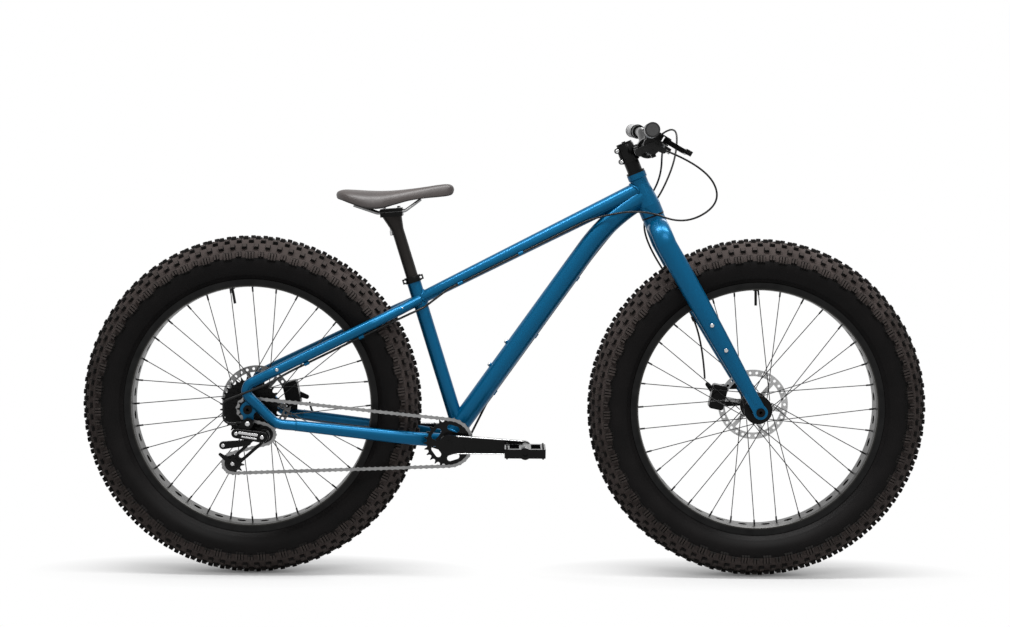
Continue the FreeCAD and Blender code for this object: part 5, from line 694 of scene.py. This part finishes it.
def tread_blocks(axle, section, height, turns, share, long, wide):
    """Blocks on the casing: each stands out along the casing's normal at its turn and share.

    share runs from 0 at the crown to 1 at a bead, signed by side; long and wide are block sizes.
    """
    length = np.r_[0, np.cumsum(np.linalg.norm(np.diff(section, axis=0), axis=1))]
    middle = length[-1] / 2
    at = middle - share * middle
    across = np.interp(at, length, section[:, 0])
    radius = np.interp(at, length, section[:, 1])
    step = 0.0015
    slope_y, slope_r = (np.interp(at + step, length, places) - np.interp(at - step, length, places)
                        for places in section.T)
    out_r = np.stack((np.sin(turns), np.zeros_like(turns), np.cos(turns)), -1)
    forward = np.stack((np.cos(turns), np.zeros_like(turns), -np.sin(turns)), -1)
    sideways = unit(slope_y[:, None] * ACROSS + slope_r[:, None] * out_r)
    outward = np.cross(sideways, forward)
    outward *= np.sign(np.sum(outward * (out_r + 0.3 * np.sign(across)[:, None] * ACROSS), -1,
                              keepdims=True))
    sideways = np.cross(outward, forward)
    root = axle + across[:, None] * ACROSS + radius[:, None] * out_r
    template, faces = block_template(0.26)
    points = (root[:, None] + template[None, :, 0, None] * (long[:, None] * forward)[:, None]
              + template[None, :, 1, None] * (wide[:, None] * sideways)[:, None]
              + template[None, :, 2, None] * height * outward[:, None])
    shifts = np.arange(len(turns))[:, None, None] * len(template)
    return points.reshape(-1, 3), (faces[None] + shifts).reshape(-1, 4)


def tread_plan(count):
    """Turn, share across, length and width of every block, as arrays.

    Shoulder blocks are cut into three or two lugs in turn; the rows inside them are staggered.
    """
    pitch = 2 * np.pi / count
    index = np.arange(count)
    rows = []
    for side in (RIGHT, LEFT):
        base = index * pitch + (0 if side == RIGHT else pitch / 2)
        wide_ones, slim_ones = base[::2], base[1::2]
        for shift in (-0.0190, 0.0, 0.0190):
            rows.append((wide_ones + shift, 0.505, 0.0056, 0.0200))
        for shift in (-0.0098, 0.0098):
            rows.append((slim_ones + shift, 0.485, 0.0056, 0.0140))
        rows.append((base + pitch * 0.50, 0.345, 0.0118, 0.0108))
        rows.append((base + pitch * 0.02, 0.215, 0.0115, 0.0100))
        rows.append((base + pitch * 0.52, 0.085, 0.0112, 0.0104))
        rows[-8:] = [(turn, side * share, long, wide) for turn, share, long, wide in rows[-8:]]
    return [np.concatenate([np.broadcast_to(row[place], np.shape(row[0])) for row in rows])
            for place in range(4)]


class BuildTyres(bpy.types.Operator):
    """Mould both tyres: casing, wall ridges and rows of tread blocks"""
    bl_idname = "bike.build_tyres"
    bl_label = "Tyres"

    def execute(self, context):
        sizes = context.scene.bike_tyres
        section = tyre_section(121, sizes.crown)
        slope = np.gradient(section, axis=0)[::-1]
        inside = section[::-1] + unit(np.c_[-slope[:, 1], slope[:, 0]]) * TYRE_WALL
        ring = np.concatenate((section, inside))
        on_tread = (np.arange(len(ring)) < len(section)) & (ring[:, 1] > TREAD_EDGE)
        turn = full_turn(sizes.around)[:, None]
        across, reach = ring.T
        for name, axle in WHEELS:
            casing = np.stack(np.broadcast_arrays(reach * np.sin(turn), across,
                                                  reach * np.cos(turn)), -1) + axle
            casing_faces = grid_faces(sizes.around, len(ring), True, True)
            blocks, block_faces = tread_blocks(axle, section, sizes.knob,
                                               *tread_plan(sizes.pitch_count))
            points, faces = merged([(casing.reshape(-1, 3), [casing_faces]),
                                    (blocks, [block_faces])])
            piece = put_mesh(f"{name}_tyre_moulded", points, faces, 35)
            kinds = np.r_[np.tile(np.where(on_tread, TREAD, WALL), sizes.around),
                          np.tile(BLOCK_KINDS, len(block_faces) // len(BLOCK_KINDS))]
            piece.data.polygons.foreach_set("material_index", kinds.astype(np.int32))
            finish_piece(piece, ("wall", "tread", "knob", "knob_top"), f"{name}_wheel")
            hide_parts(f"{name}_tyre")
        return {"FINISHED"}


SADDLE_STATIONS = (
    # along, top, skirt, half width
    (-0.3815, 0.8580, 0.8550, 0.001), (-0.3770, 0.8645, 0.8485, 0.026),
    (-0.3640, 0.8680, 0.8445, 0.048), (-0.3420, 0.8676, 0.8370, 0.064),
    (-0.3120, 0.8660, 0.8280, 0.0710), (-0.2800, 0.8655, 0.8275, 0.066),
    (-0.2480, 0.8672, 0.8360, 0.050), (-0.2150, 0.8710, 0.8450, 0.0355),
    (-0.1820, 0.8758, 0.8500, 0.0275), (-0.1520, 0.8808, 0.8530, 0.0235),
    (-0.1310, 0.8826, 0.8556, 0.0190), (-0.1205, 0.8792, 0.8595, 0.0115),
    (-0.1165, 0.8710, 0.8690, 0.001))


def saddle_surface(rows, columns):
    """The cover: a closed section at each station along the saddle.

    Above the skirt the section is a rounded box, width by cosine and height by sine, each to a
    power below one; below it an arch hollows the underside. A shallow channel runs down the top.
    """
    along, top, skirt, half = smooth_line(SADDLE_STATIONS, rows).T[:, :, None]
    half = np.maximum(half, 0.0)
    turn = full_turn(columns)[None, :]
    cosine, sine = np.cos(turn), np.sin(turn)
    upper = sine >= 0
    across = half * np.sign(cosine) * np.abs(cosine) ** np.where(upper, 0.62, 0.9)
    over = (top - skirt) * np.abs(sine) ** 0.72
    under = (top - skirt) * 0.34 * np.abs(sine) ** 1.2
    channel = 0.0022 * np.exp(-(across / 0.0075) ** 2) * np.clip(half / 0.03, 0, 1)
    height = skirt + np.where(upper, over - channel * np.clip(sine, 0, 1) ** 3, under)
    rings = np.stack(np.broadcast_arrays(along, across, height), -1)
    return closed_rings(rings, rings[0].mean(0), rings[-1].mean(0), True)


def saddle_shell(rows, columns):
    """The base under the cover: at each station a flat oval, a little narrower than the cover."""
    along, top, skirt, half = smooth_line(SADDLE_STATIONS, rows).T[:, :, None]
    half = np.maximum(half, 0.0) * 0.86
    turn = full_turn(columns)[None, :]
    across = half * np.cos(turn)
    height = skirt + (top - skirt) * 0.16 + 0.0024 * np.sin(turn) * np.clip(half / 0.01, 0, 1)
    rings = np.stack(np.broadcast_arrays(along, across, height), -1)[4:-4]
    return closed_rings(rings, rings[0].mean(0), rings[-1].mean(0), True)


class CoverSaddle(bpy.types.Operator):
    """Stretch the saddle's padded cover over its base"""
    bl_idname = "bike.cover_saddle"
    bl_label = "Saddle cover"

    def execute(self, context):
        points, faces = saddle_surface(140, 112)
        piece = finish_piece(put_mesh("saddle_padded_cover", points, faces), "cover",
                             "seatpost")
        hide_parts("saddle_cover")
        points, faces = saddle_shell(80, 48)
        shell = finish_piece(put_mesh("saddle_base_shell", points, faces), "plastic",
                             "seatpost")
        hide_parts("saddle_base")
        return {"FINISHED"}


BEAD_SIDES = 10


def weld_line(start, way, radius, host, host_way, host_radius, count):
    """Where a tube's outside meets a round host: each line along the tube runs to the host's wall.

    The distance solves a square equation; where a line passes beside the host it takes the
    nearest pass.
    """
    way, host_way = unit(np.asarray(way, float)), unit(np.asarray(host_way, float))
    turn = full_turn(count)[:, None]
    side = unit(np.cross(way, ACROSS))
    tall, wide = radius if isinstance(radius, tuple) else (radius, radius)
    rim = start + wide * np.cos(turn) * ACROSS + tall * np.sin(turn) * side
    offset = rim - host
    flat = offset - np.sum(offset * host_way, -1, keepdims=True) * host_way
    run = way - np.dot(way, host_way) * host_way
    square, middle = np.dot(run, run), flat @ run
    rest = np.sum(flat * flat, -1) - host_radius ** 2
    root = np.sqrt(np.maximum(middle ** 2 - square * rest, 0))
    return rim + ((-middle - root) / square)[:, None] * way


def weld_bead(line, radius, ripples):
    """A closed bead on a line: its section swells and sinks with each laid ripple."""
    line = np.asarray(line, float)
    way = unit(np.roll(line, -1, 0) - np.roll(line, 1, 0))
    outward = unit(line - line.mean(0))
    side = unit(np.cross(way, outward))
    outward = np.cross(side, way)
    step = np.linspace(0, 2 * np.pi * ripples, len(line), endpoint=False)
    swell = radius * (1 + 0.13 * np.abs(np.sin(step / 2)))
    turn = full_turn(BEAD_SIDES)[None, :, None]
    rings = line[:, None] + swell[:, None, None] * (np.cos(turn) * outward[:, None]
                                                    + np.sin(turn) * side[:, None])
    return rings.reshape(-1, 3), [grid_faces(len(line), BEAD_SIDES, True, True)[:, ::-1]]


class LayWelds(bpy.types.Operator):
    """Lay the weld beads where the frame's tubes meet"""
    bl_idname = "bike.lay_welds"
    bl_label = "Weld beads"

    def execute(self, context):
        count = 320
        top_way = unit(TOP_HEAD - TOP_SEAT)
        down_low = np.array((0.579, 0.0, 0.815))
        lines = [
            weld_line(TOP_HEAD - top_way * 0.2, top_way, (0.0185, 0.0190), HEAD_TOP, STEER_UP,
                      0.0216, count),
            weld_line(TOP_SEAT + top_way * 0.2, -top_way, (0.0135, 0.0140), SEAT_TOP, SEAT_UP,
                      0.0159, count),
            weld_line(BRACKET + down_low * 0.2, -down_low, 0.0227, BRACKET, ACROSS, 0.0220, count),
            weld_line(SEAT_FOOT + SEAT_UP * 0.2, -SEAT_UP, 0.0159, BRACKET, ACROSS, 0.0220, count),
        ]
        beads = [weld_bead(line, 0.0024, 46) for line in lines]
        stay_way = unit(np.array((-0.2107, 0.024, 0.02536)))
        turn = full_turn(120)[:, None]
        for side in (RIGHT, LEFT):
            way = stay_way * (1, side, 1)
            level = unit(np.cross(way, (0.0, 0.0, 1.0)))
            rise = np.cross(level, way)
            middle = np.array((-0.4640, side * 0.0969, 0.3449))
            beads.append(weld_bead(middle + 0.0112 * (np.cos(turn) * level + np.sin(turn) * rise),
                                   0.0013, 30))
        points, faces = merged(beads)
        finish_piece(put_mesh("frame_welds", points, faces), "paint", "frame")
        return {"FINISHED"}


def bolt_head(place, way, radius, height):
    """A button bolt: a domed head turned round its axis, with a six-sided socket sunk in it."""
    place = np.asarray(place, float)
    way, side, up = axis_frame(way)
    turn = full_turn(24)
    six = 0.46 / np.cos((turn + np.pi / 6) % (np.pi / 3) - np.pi / 6)
    dome = [np.full_like(turn, share) for share in (1.0, 1.0, 0.93, 0.78)]
    reach = radius * np.stack(dome + [six, six * 0.96])[:, :, None]
    rise = np.array((-0.3, 0.45, 0.78, 1.0, 1.0, 0.35))[:, None, None] * height
    rings = (place + rise * way
             + reach * (np.cos(turn)[:, None] * side + np.sin(turn)[:, None] * up))
    return closed_rings(rings, place - 0.3 * height * way, place + 0.33 * height * way)


def axle_ring(axle, face, radius, count, start):
    """Places evenly round an axle on one face across it."""
    turn = start + full_turn(count)
    return np.stack((axle[0] + radius * np.cos(turn), np.full(count, face),
                     axle[2] + radius * np.sin(turn)), -1)


# Bolt heads: radius and height.
CAGE_BOLT, BOTTLE_BOLT, STEM_BOLT = (0.0048, 0.0030), (0.0046, 0.0028), (0.0043, 0.0026)
RACK_BOLT, ROTOR_BOLT, CLAMP_BOLT = (0.0040, 0.0026), (0.0034, 0.0020), (0.0042, 0.0044)
ROTOR_BOLT_RING = 0.0168
DOWN_TUBE_OUT = (-0.815, 0.0, 0.579)
# The bolt under the saddle clamp: distance along and radius, from its head to its shank's end.
POST_BOLT = ((0.0, 0.0030), (0.0008, 0.0038), (0.0100, 0.0038), (0.0101, 0.0028),
             (0.0260, 0.0028))


class FitBolts(bpy.types.Operator):
    """Fit the bolts of the frame, the fork, the stem, the saddle and the rotors"""
    bl_idname = "bike.fit_bolts"
    bl_label = "Bolts"

    def execute(self, context):
        stem_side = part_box("stem")[0][1]
        clamp_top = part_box("saddle_clamp")[1][2]
        fork = [((east, side * 0.1030, rise), ACROSS * side, *CAGE_BOLT)
                for east, rise in ((0.490305, 0.519740), (0.458428, 0.575236))
                for side in (RIGHT, LEFT)]
        bottle = [(place, DOWN_TUBE_OUT, *BOTTLE_BOLT)
                  for place in ((-0.03515, 0.0, 0.47576), (0.00192, 0.0, 0.52793))]
        stem = [((east, stem_side, rise), -ACROSS, *STEM_BOLT)
                for east, rise in ((0.24868, 0.95821), (0.25863, 0.93419))]
        rack = []
        for side in (RIGHT, LEFT):
            rack.append(((-0.5040, side * 0.1154, 0.4712), (0.0, side, 0.0), *RACK_BOLT))
            rack.append(((-0.2310, side * 0.0530, 0.6045), (-0.55, side, 0.25), *RACK_BOLT))
        groups = [("fork_cage_bolts", fork, "bright", "steering"),
                  ("bottle_bolts", bottle, "bright", "frame"),
                  ("rack_bolts", rack, "bright", "frame"),
                  ("stem_bolts", stem, "bright", "steering")]
        for name, axle in WHEELS:
            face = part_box(f"{name}_rotor")[1][1]
            ring = axle_ring(axle, face, ROTOR_BOLT_RING, 6, 0.3)
            groups.append((f"{name}_rotor_bolts", [(place, ACROSS, *ROTOR_BOLT) for place in ring],
                           "dark", f"{name}_wheel"))
        clamp = [((SADDLE_SEAT[0] + shift, 0.0, clamp_top - fall), SADDLE_UP, *CLAMP_BOLT)
                 for shift, fall in ((0.0165, 0.0006), (-0.0165, 0.0036))]
        groups.append(("saddle_clamp_bolts", clamp, "bright", "seatpost"))
        points, faces = turned(POST_BOLT, (-0.2566, 0.0, 0.7655), (-0.12, 0.0, 0.993), 18)
        finish_piece(put_mesh("post_head_bolt", points, faces, 32), "bright",
                     "seatpost")
        for name, bolts, finish, body in groups:
            points, faces = merged([bolt_head(*bolt) for bolt in bolts])
            finish_piece(put_mesh(name, points, faces, 32), finish, body)
        return {"FINISHED"}


END_STEPS = 22


def capsule_plate(start, end, start_radius, end_radius, near, far, edge):
    """A plate with two round ends: rings of one outline, drawn in at the far face by a round edge.

    The outline is the hull of two circles in the X and Z plane, half of it round each end.
    """
    start, end = np.asarray(start, float), np.asarray(end, float)
    run = end - start
    angle = np.arctan2(run[1], run[0])
    lean = np.arccos(np.clip((start_radius - end_radius) / np.linalg.norm(run), -1, 1))
    turn = np.r_[np.linspace(angle + lean, angle + 2 * np.pi - lean, END_STEPS),
                 np.linspace(angle - lean, angle + lean, END_STEPS)][:, None]
    centre = np.repeat((start, end), END_STEPS, 0)
    reach = np.repeat((start_radius, end_radius), END_STEPS)[:, None]
    step = np.linspace(0, np.pi / 2, 5)
    inset = np.r_[0.0, edge * (1 - np.cos(step))]
    level = np.r_[near, far - np.sign(far - near) * edge * (1 - np.sin(step))]
    flat = centre + (reach - inset[:, None, None]) * np.c_[np.cos(turn), np.sin(turn)]
    rings = np.stack(np.broadcast_arrays(flat[..., 0], level[:, None], flat[..., 1]), -1)
    first, last = (start[0], near, start[1]), (start[0], far, start[1])
    return closed_rings(rings, first, last, far > near)


UPPER_JOCKEY = np.array((-0.5340, 0.3240))
LOWER_JOCKEY = np.array((-0.605322, 0.258257))
CAGE_FACE = -0.0940
# The derailleur's plates: two ends in X and Z, their radii, near and far face, width of the edge.
LINK_PLATES = (
    ((-0.5925, 0.3315), (-0.5350, 0.3235), 0.0105, 0.0125, -0.1325, -0.1385, 0.0022),
    ((-0.5660, 0.3105), (-0.6215, 0.3045), 0.0062, 0.0088, -0.1285, -0.1340, 0.0018))
STRIP_PLATES = (
    ((-0.5860, 0.3335), (-0.5470, 0.3285), 0.0026, 0.0030, -0.1383, -0.1392, 0.0006),
    ((-0.5790, 0.3245), (-0.5480, 0.3200), 0.0016, 0.0018, -0.1383, -0.1392, 0.0006))
# The derailleur's bolt heads: place, radius and height.
PIN_HEADS = (
    ((-0.5925, -0.1385, 0.3315), 0.0040, 0.0018), ((-0.5350, -0.1385, 0.3235), 0.0044, 0.0020),
    ((-0.6215, -0.1340, 0.3045), 0.0042, 0.0018), ((-0.5680, -0.1285, 0.3520), 0.0056, 0.0024))


class ShapeDerailleur(bpy.types.Operator):
    """Shape the derailleur's outer link, its cable arm and the ribs of its cage"""
    bl_idname = "bike.shape_derailleur"
    bl_label = "Derailleur"

    def execute(self, context):
        run = LOWER_JOCKEY - UPPER_JOCKEY
        beside = np.array((-run[1], run[0])) / np.linalg.norm(run)
        ribs = [(UPPER_JOCKEY + run * 0.22 + beside * way * 0.0095,
                 LOWER_JOCKEY + beside * way * 0.0080, 0.0034, 0.0036, CAGE_FACE, -0.0968, 0.0008)
                for way in (-1, 1)]
        ribs.append((LOWER_JOCKEY, LOWER_JOCKEY + (0.0005, 0.0), 0.0125, 0.0125, CAGE_FACE,
                     -0.0970, 0.0010))
        ribs.append((LOWER_JOCKEY + (-0.008, 0.006), (-0.6330, 0.2790), 0.0060, 0.0034, CAGE_FACE,
                     -0.0966, 0.0008))
        link, strip, cage = ([capsule_plate(*plate) for plate in plates]
                             for plates in (LINK_PLATES, STRIP_PLATES, ribs))
        pins = [bolt_head(place, -ACROSS, *head) for place, *head in PIN_HEADS]
        bolts = [bolt_head((LOWER_JOCKEY[0], -0.0970, LOWER_JOCKEY[1]), -ACROSS, 0.0046, 0.0024)]
        for name, parts, finish, slot, body in (
                ("derailleur_outer_link", link, "gloss", "black_metal", "frame"),
                ("derailleur_strips", strip, "bright", "bright_steel", "frame"),
                ("derailleur_pins", pins, "bright", "bright_steel", "frame"),
                ("derailleur_cage_ribs", cage, "gloss", "black_metal", "derailleur_cage"),
                ("derailleur_cage_bolt", bolts, "bright", "bright_steel", "derailleur_cage")):
            points, faces = merged(parts)
            finish_piece(put_mesh(name, points, faces, 40), finish, body)
        return {"FINISHED"}


class TrimCranks(bpy.types.Operator):
    """Lay the polished edges along both crank arms"""
    bl_idname = "bike.trim_cranks"
    bl_label = "Crank trim"

    def execute(self, context):
        way = unit(np.array((0.169897, 0.0, -0.005933)))
        rise = np.array((-way[2], 0.0, way[0]))
        edges = []
        for side in (RIGHT, LEFT):
            run = -side * way
            share = np.linspace(0.0, 1.0, 24)[:, None]
            for edge in (-1, 1):
                start = BRACKET + run * 0.016 + edge * rise * 0.0196
                end = BRACKET + run * 0.168 + edge * rise * 0.0142
                path = start + (end - start) * share + ACROSS * side * 0.1068
                edges.append(swept_tube(path, 0.0011, 10))
        points, faces = merged(edges)
        finish_piece(put_mesh("crank_trim", points, faces), "bright", "crankset")
        return {"FINISHED"}


class SetStage(bpy.types.Operator):
    """Set the pale floor with its painted contact shadows, the soft lights and the camera"""
    bl_idname = "bike.set_stage"
    bl_label = "Stage"

    def execute(self, context):
        scene = context.scene
        sizes = scene.bike_stage
        scene.view_settings.view_transform = "Standard"
        self.set_floor()
        self.set_world(scene)
        self.set_lamps()
        camera = bpy.data.cameras.new("photo_camera")
        camera.lens, camera.sensor_width = sizes.lens, 36.0
        holder = bpy.data.objects.new("photo_camera", camera)
        holder.location = sizes.place
        holder.rotation_euler = (math.pi / 2 - sizes.pitch, sizes.roll, 0.0)
        bpy.context.collection.objects.link(holder)
        scene.camera = holder
        return {"FINISHED"}

    def set_floor(self):
        """A wide flat floor, white to the eye away from the wheels; near each tyre's contact the
        white gives way to a grey diffuse floor with the real shadow, a darker patch that is painted
        shadow.
        """
        reach = np.array((-14.0, 14.0))
        east, north = np.meshgrid(reach, reach)
        points = np.stack((east, north, np.full_like(east, -0.0018)), -1).reshape(-1, 3)
        floor = put_mesh("floor", points, [np.array([[0, 1, 3, 2]])])
        make = Finish("floor_pale_painted_contact_shadow")
        make.skin(Base_Color=(0.5, 0.5, 0.5, 1), Roughness=0.9)
        plain = Field(make, make.shader.outputs[0])
        white = make.node("ShaderNodeEmission", {}, {"Color": (1, 1, 1, 1), "Strength": 1.0})
        # Painted contact shadow: the white share drops towards each tyre's contact, so the floor is
        # darker there even where no shadow falls.
        reach = diagonal(make.off_middle("X") - WHEEL_AHEAD, make.along("Y") * 2.4)
        painted_contact_shadow_fade = reach.limited(0.01, 0.52) * 0.95 + 0.05
        both = make.node("ShaderNodeMixShader", {}, {0: make.seen() * painted_contact_shadow_fade, 1: plain, 2: white})
        floor.data.materials.append(make.surface(both))

    def set_world(self, scene):
        """White to the eye and in reflections; softer as a light."""
        make = Finish("pale_room", "worlds")
        plain, white = (make.node("ShaderNodeBackground", {},
                                  {"Color": (1, 1, 1, 1), "Strength": strength})
                        for strength in (0.20, 1.0))
        both = make.node("ShaderNodeMixShader", {}, {0: make.seen(), 1: plain, 2: white})
        scene.world = make.surface(both)

    def set_lamps(self):
        """A broad lamp above, one beside the camera and a long one behind."""
        lamps = (("top_lamp", (0.0, -0.6, 3.4), (0.0, 0.0, 0.5), 3.8, 0.4, 190.0),
                 ("near_lamp", (0.6, -3.2, 3.4), (0.0, 0.0, 0.6), 2.4, 1.2, 70.0),
                 ("far_lamp", (1.6, 3.2, 2.6), (0.0, 0.0, 0.6), 3.0, 1.2, 45.0))
        for name, place, aim, wide, deep, power in lamps:
            lamp = bpy.data.lights.new(name, "AREA")
            lamp.shape, lamp.size, lamp.size_y, lamp.energy = "RECTANGLE", wide, deep, power
            holder = bpy.data.objects.new(name, lamp)
            holder.location = place
            way = np.array(aim) - np.array(place)
            flat = math.hypot(way[0], way[1])
            holder.rotation_euler = (math.atan2(flat, -way[2]), 0.0, math.atan2(-way[0], way[1]))
            bpy.context.collection.objects.link(holder)


class BikePanel(bpy.types.Panel):
    """Lists the sizes and the steps that build the bike"""
    bl_idname = "VIEW3D_PT_bike"
    bl_label = "Fat Tyre Bike"
    bl_space_type = "VIEW_3D"
    bl_region_type = "UI"
    bl_category = "Bike"

    def draw(self, context):
        for group in ("bike_look", "bike_tyres", "bike_cables", "bike_stage"):
            sizes = getattr(context.scene, group)
            box = self.layout.box()
            for key in sizes.bl_rna.properties.keys():
                if key not in ("rna_type", "name"):
                    box.prop(sizes, key)
        for step in STEPS:
            self.layout.operator(step.bl_idname)


GROUPS = (("bike_look", BikeLook), ("bike_tyres", TyreSizes), ("bike_cables", CableSizes),
          ("bike_stage", StageSizes))
STEPS = (DressNodes, RouteCables, BuildTyres, CoverSaddle, LayWelds, FitBolts, ShapeDerailleur,
         TrimCranks, SetStage)


def register():
    for name, group in GROUPS:
        bpy.utils.register_class(group)
        setattr(bpy.types.Scene, name, bpy.props.PointerProperty(type=group))
    for kind in STEPS + (BikePanel,):
        bpy.utils.register_class(kind)


def unregister():
    for kind in reversed(STEPS + (BikePanel,)):
        bpy.utils.unregister_class(kind)
    for name, group in reversed(GROUPS):
        delattr(bpy.types.Scene, name)
        bpy.utils.unregister_class(group)


def main():
    register()
    bpy.ops.bike.dress_nodes()
    bpy.ops.bike.route_cables()
    bpy.ops.bike.build_tyres()
    bpy.ops.bike.cover_saddle()
    bpy.ops.bike.lay_welds()
    bpy.ops.bike.fit_bolts()
    bpy.ops.bike.shape_derailleur()
    bpy.ops.bike.trim_cranks()
    bpy.ops.bike.set_stage()


if __name__ == "__main__":
    main()
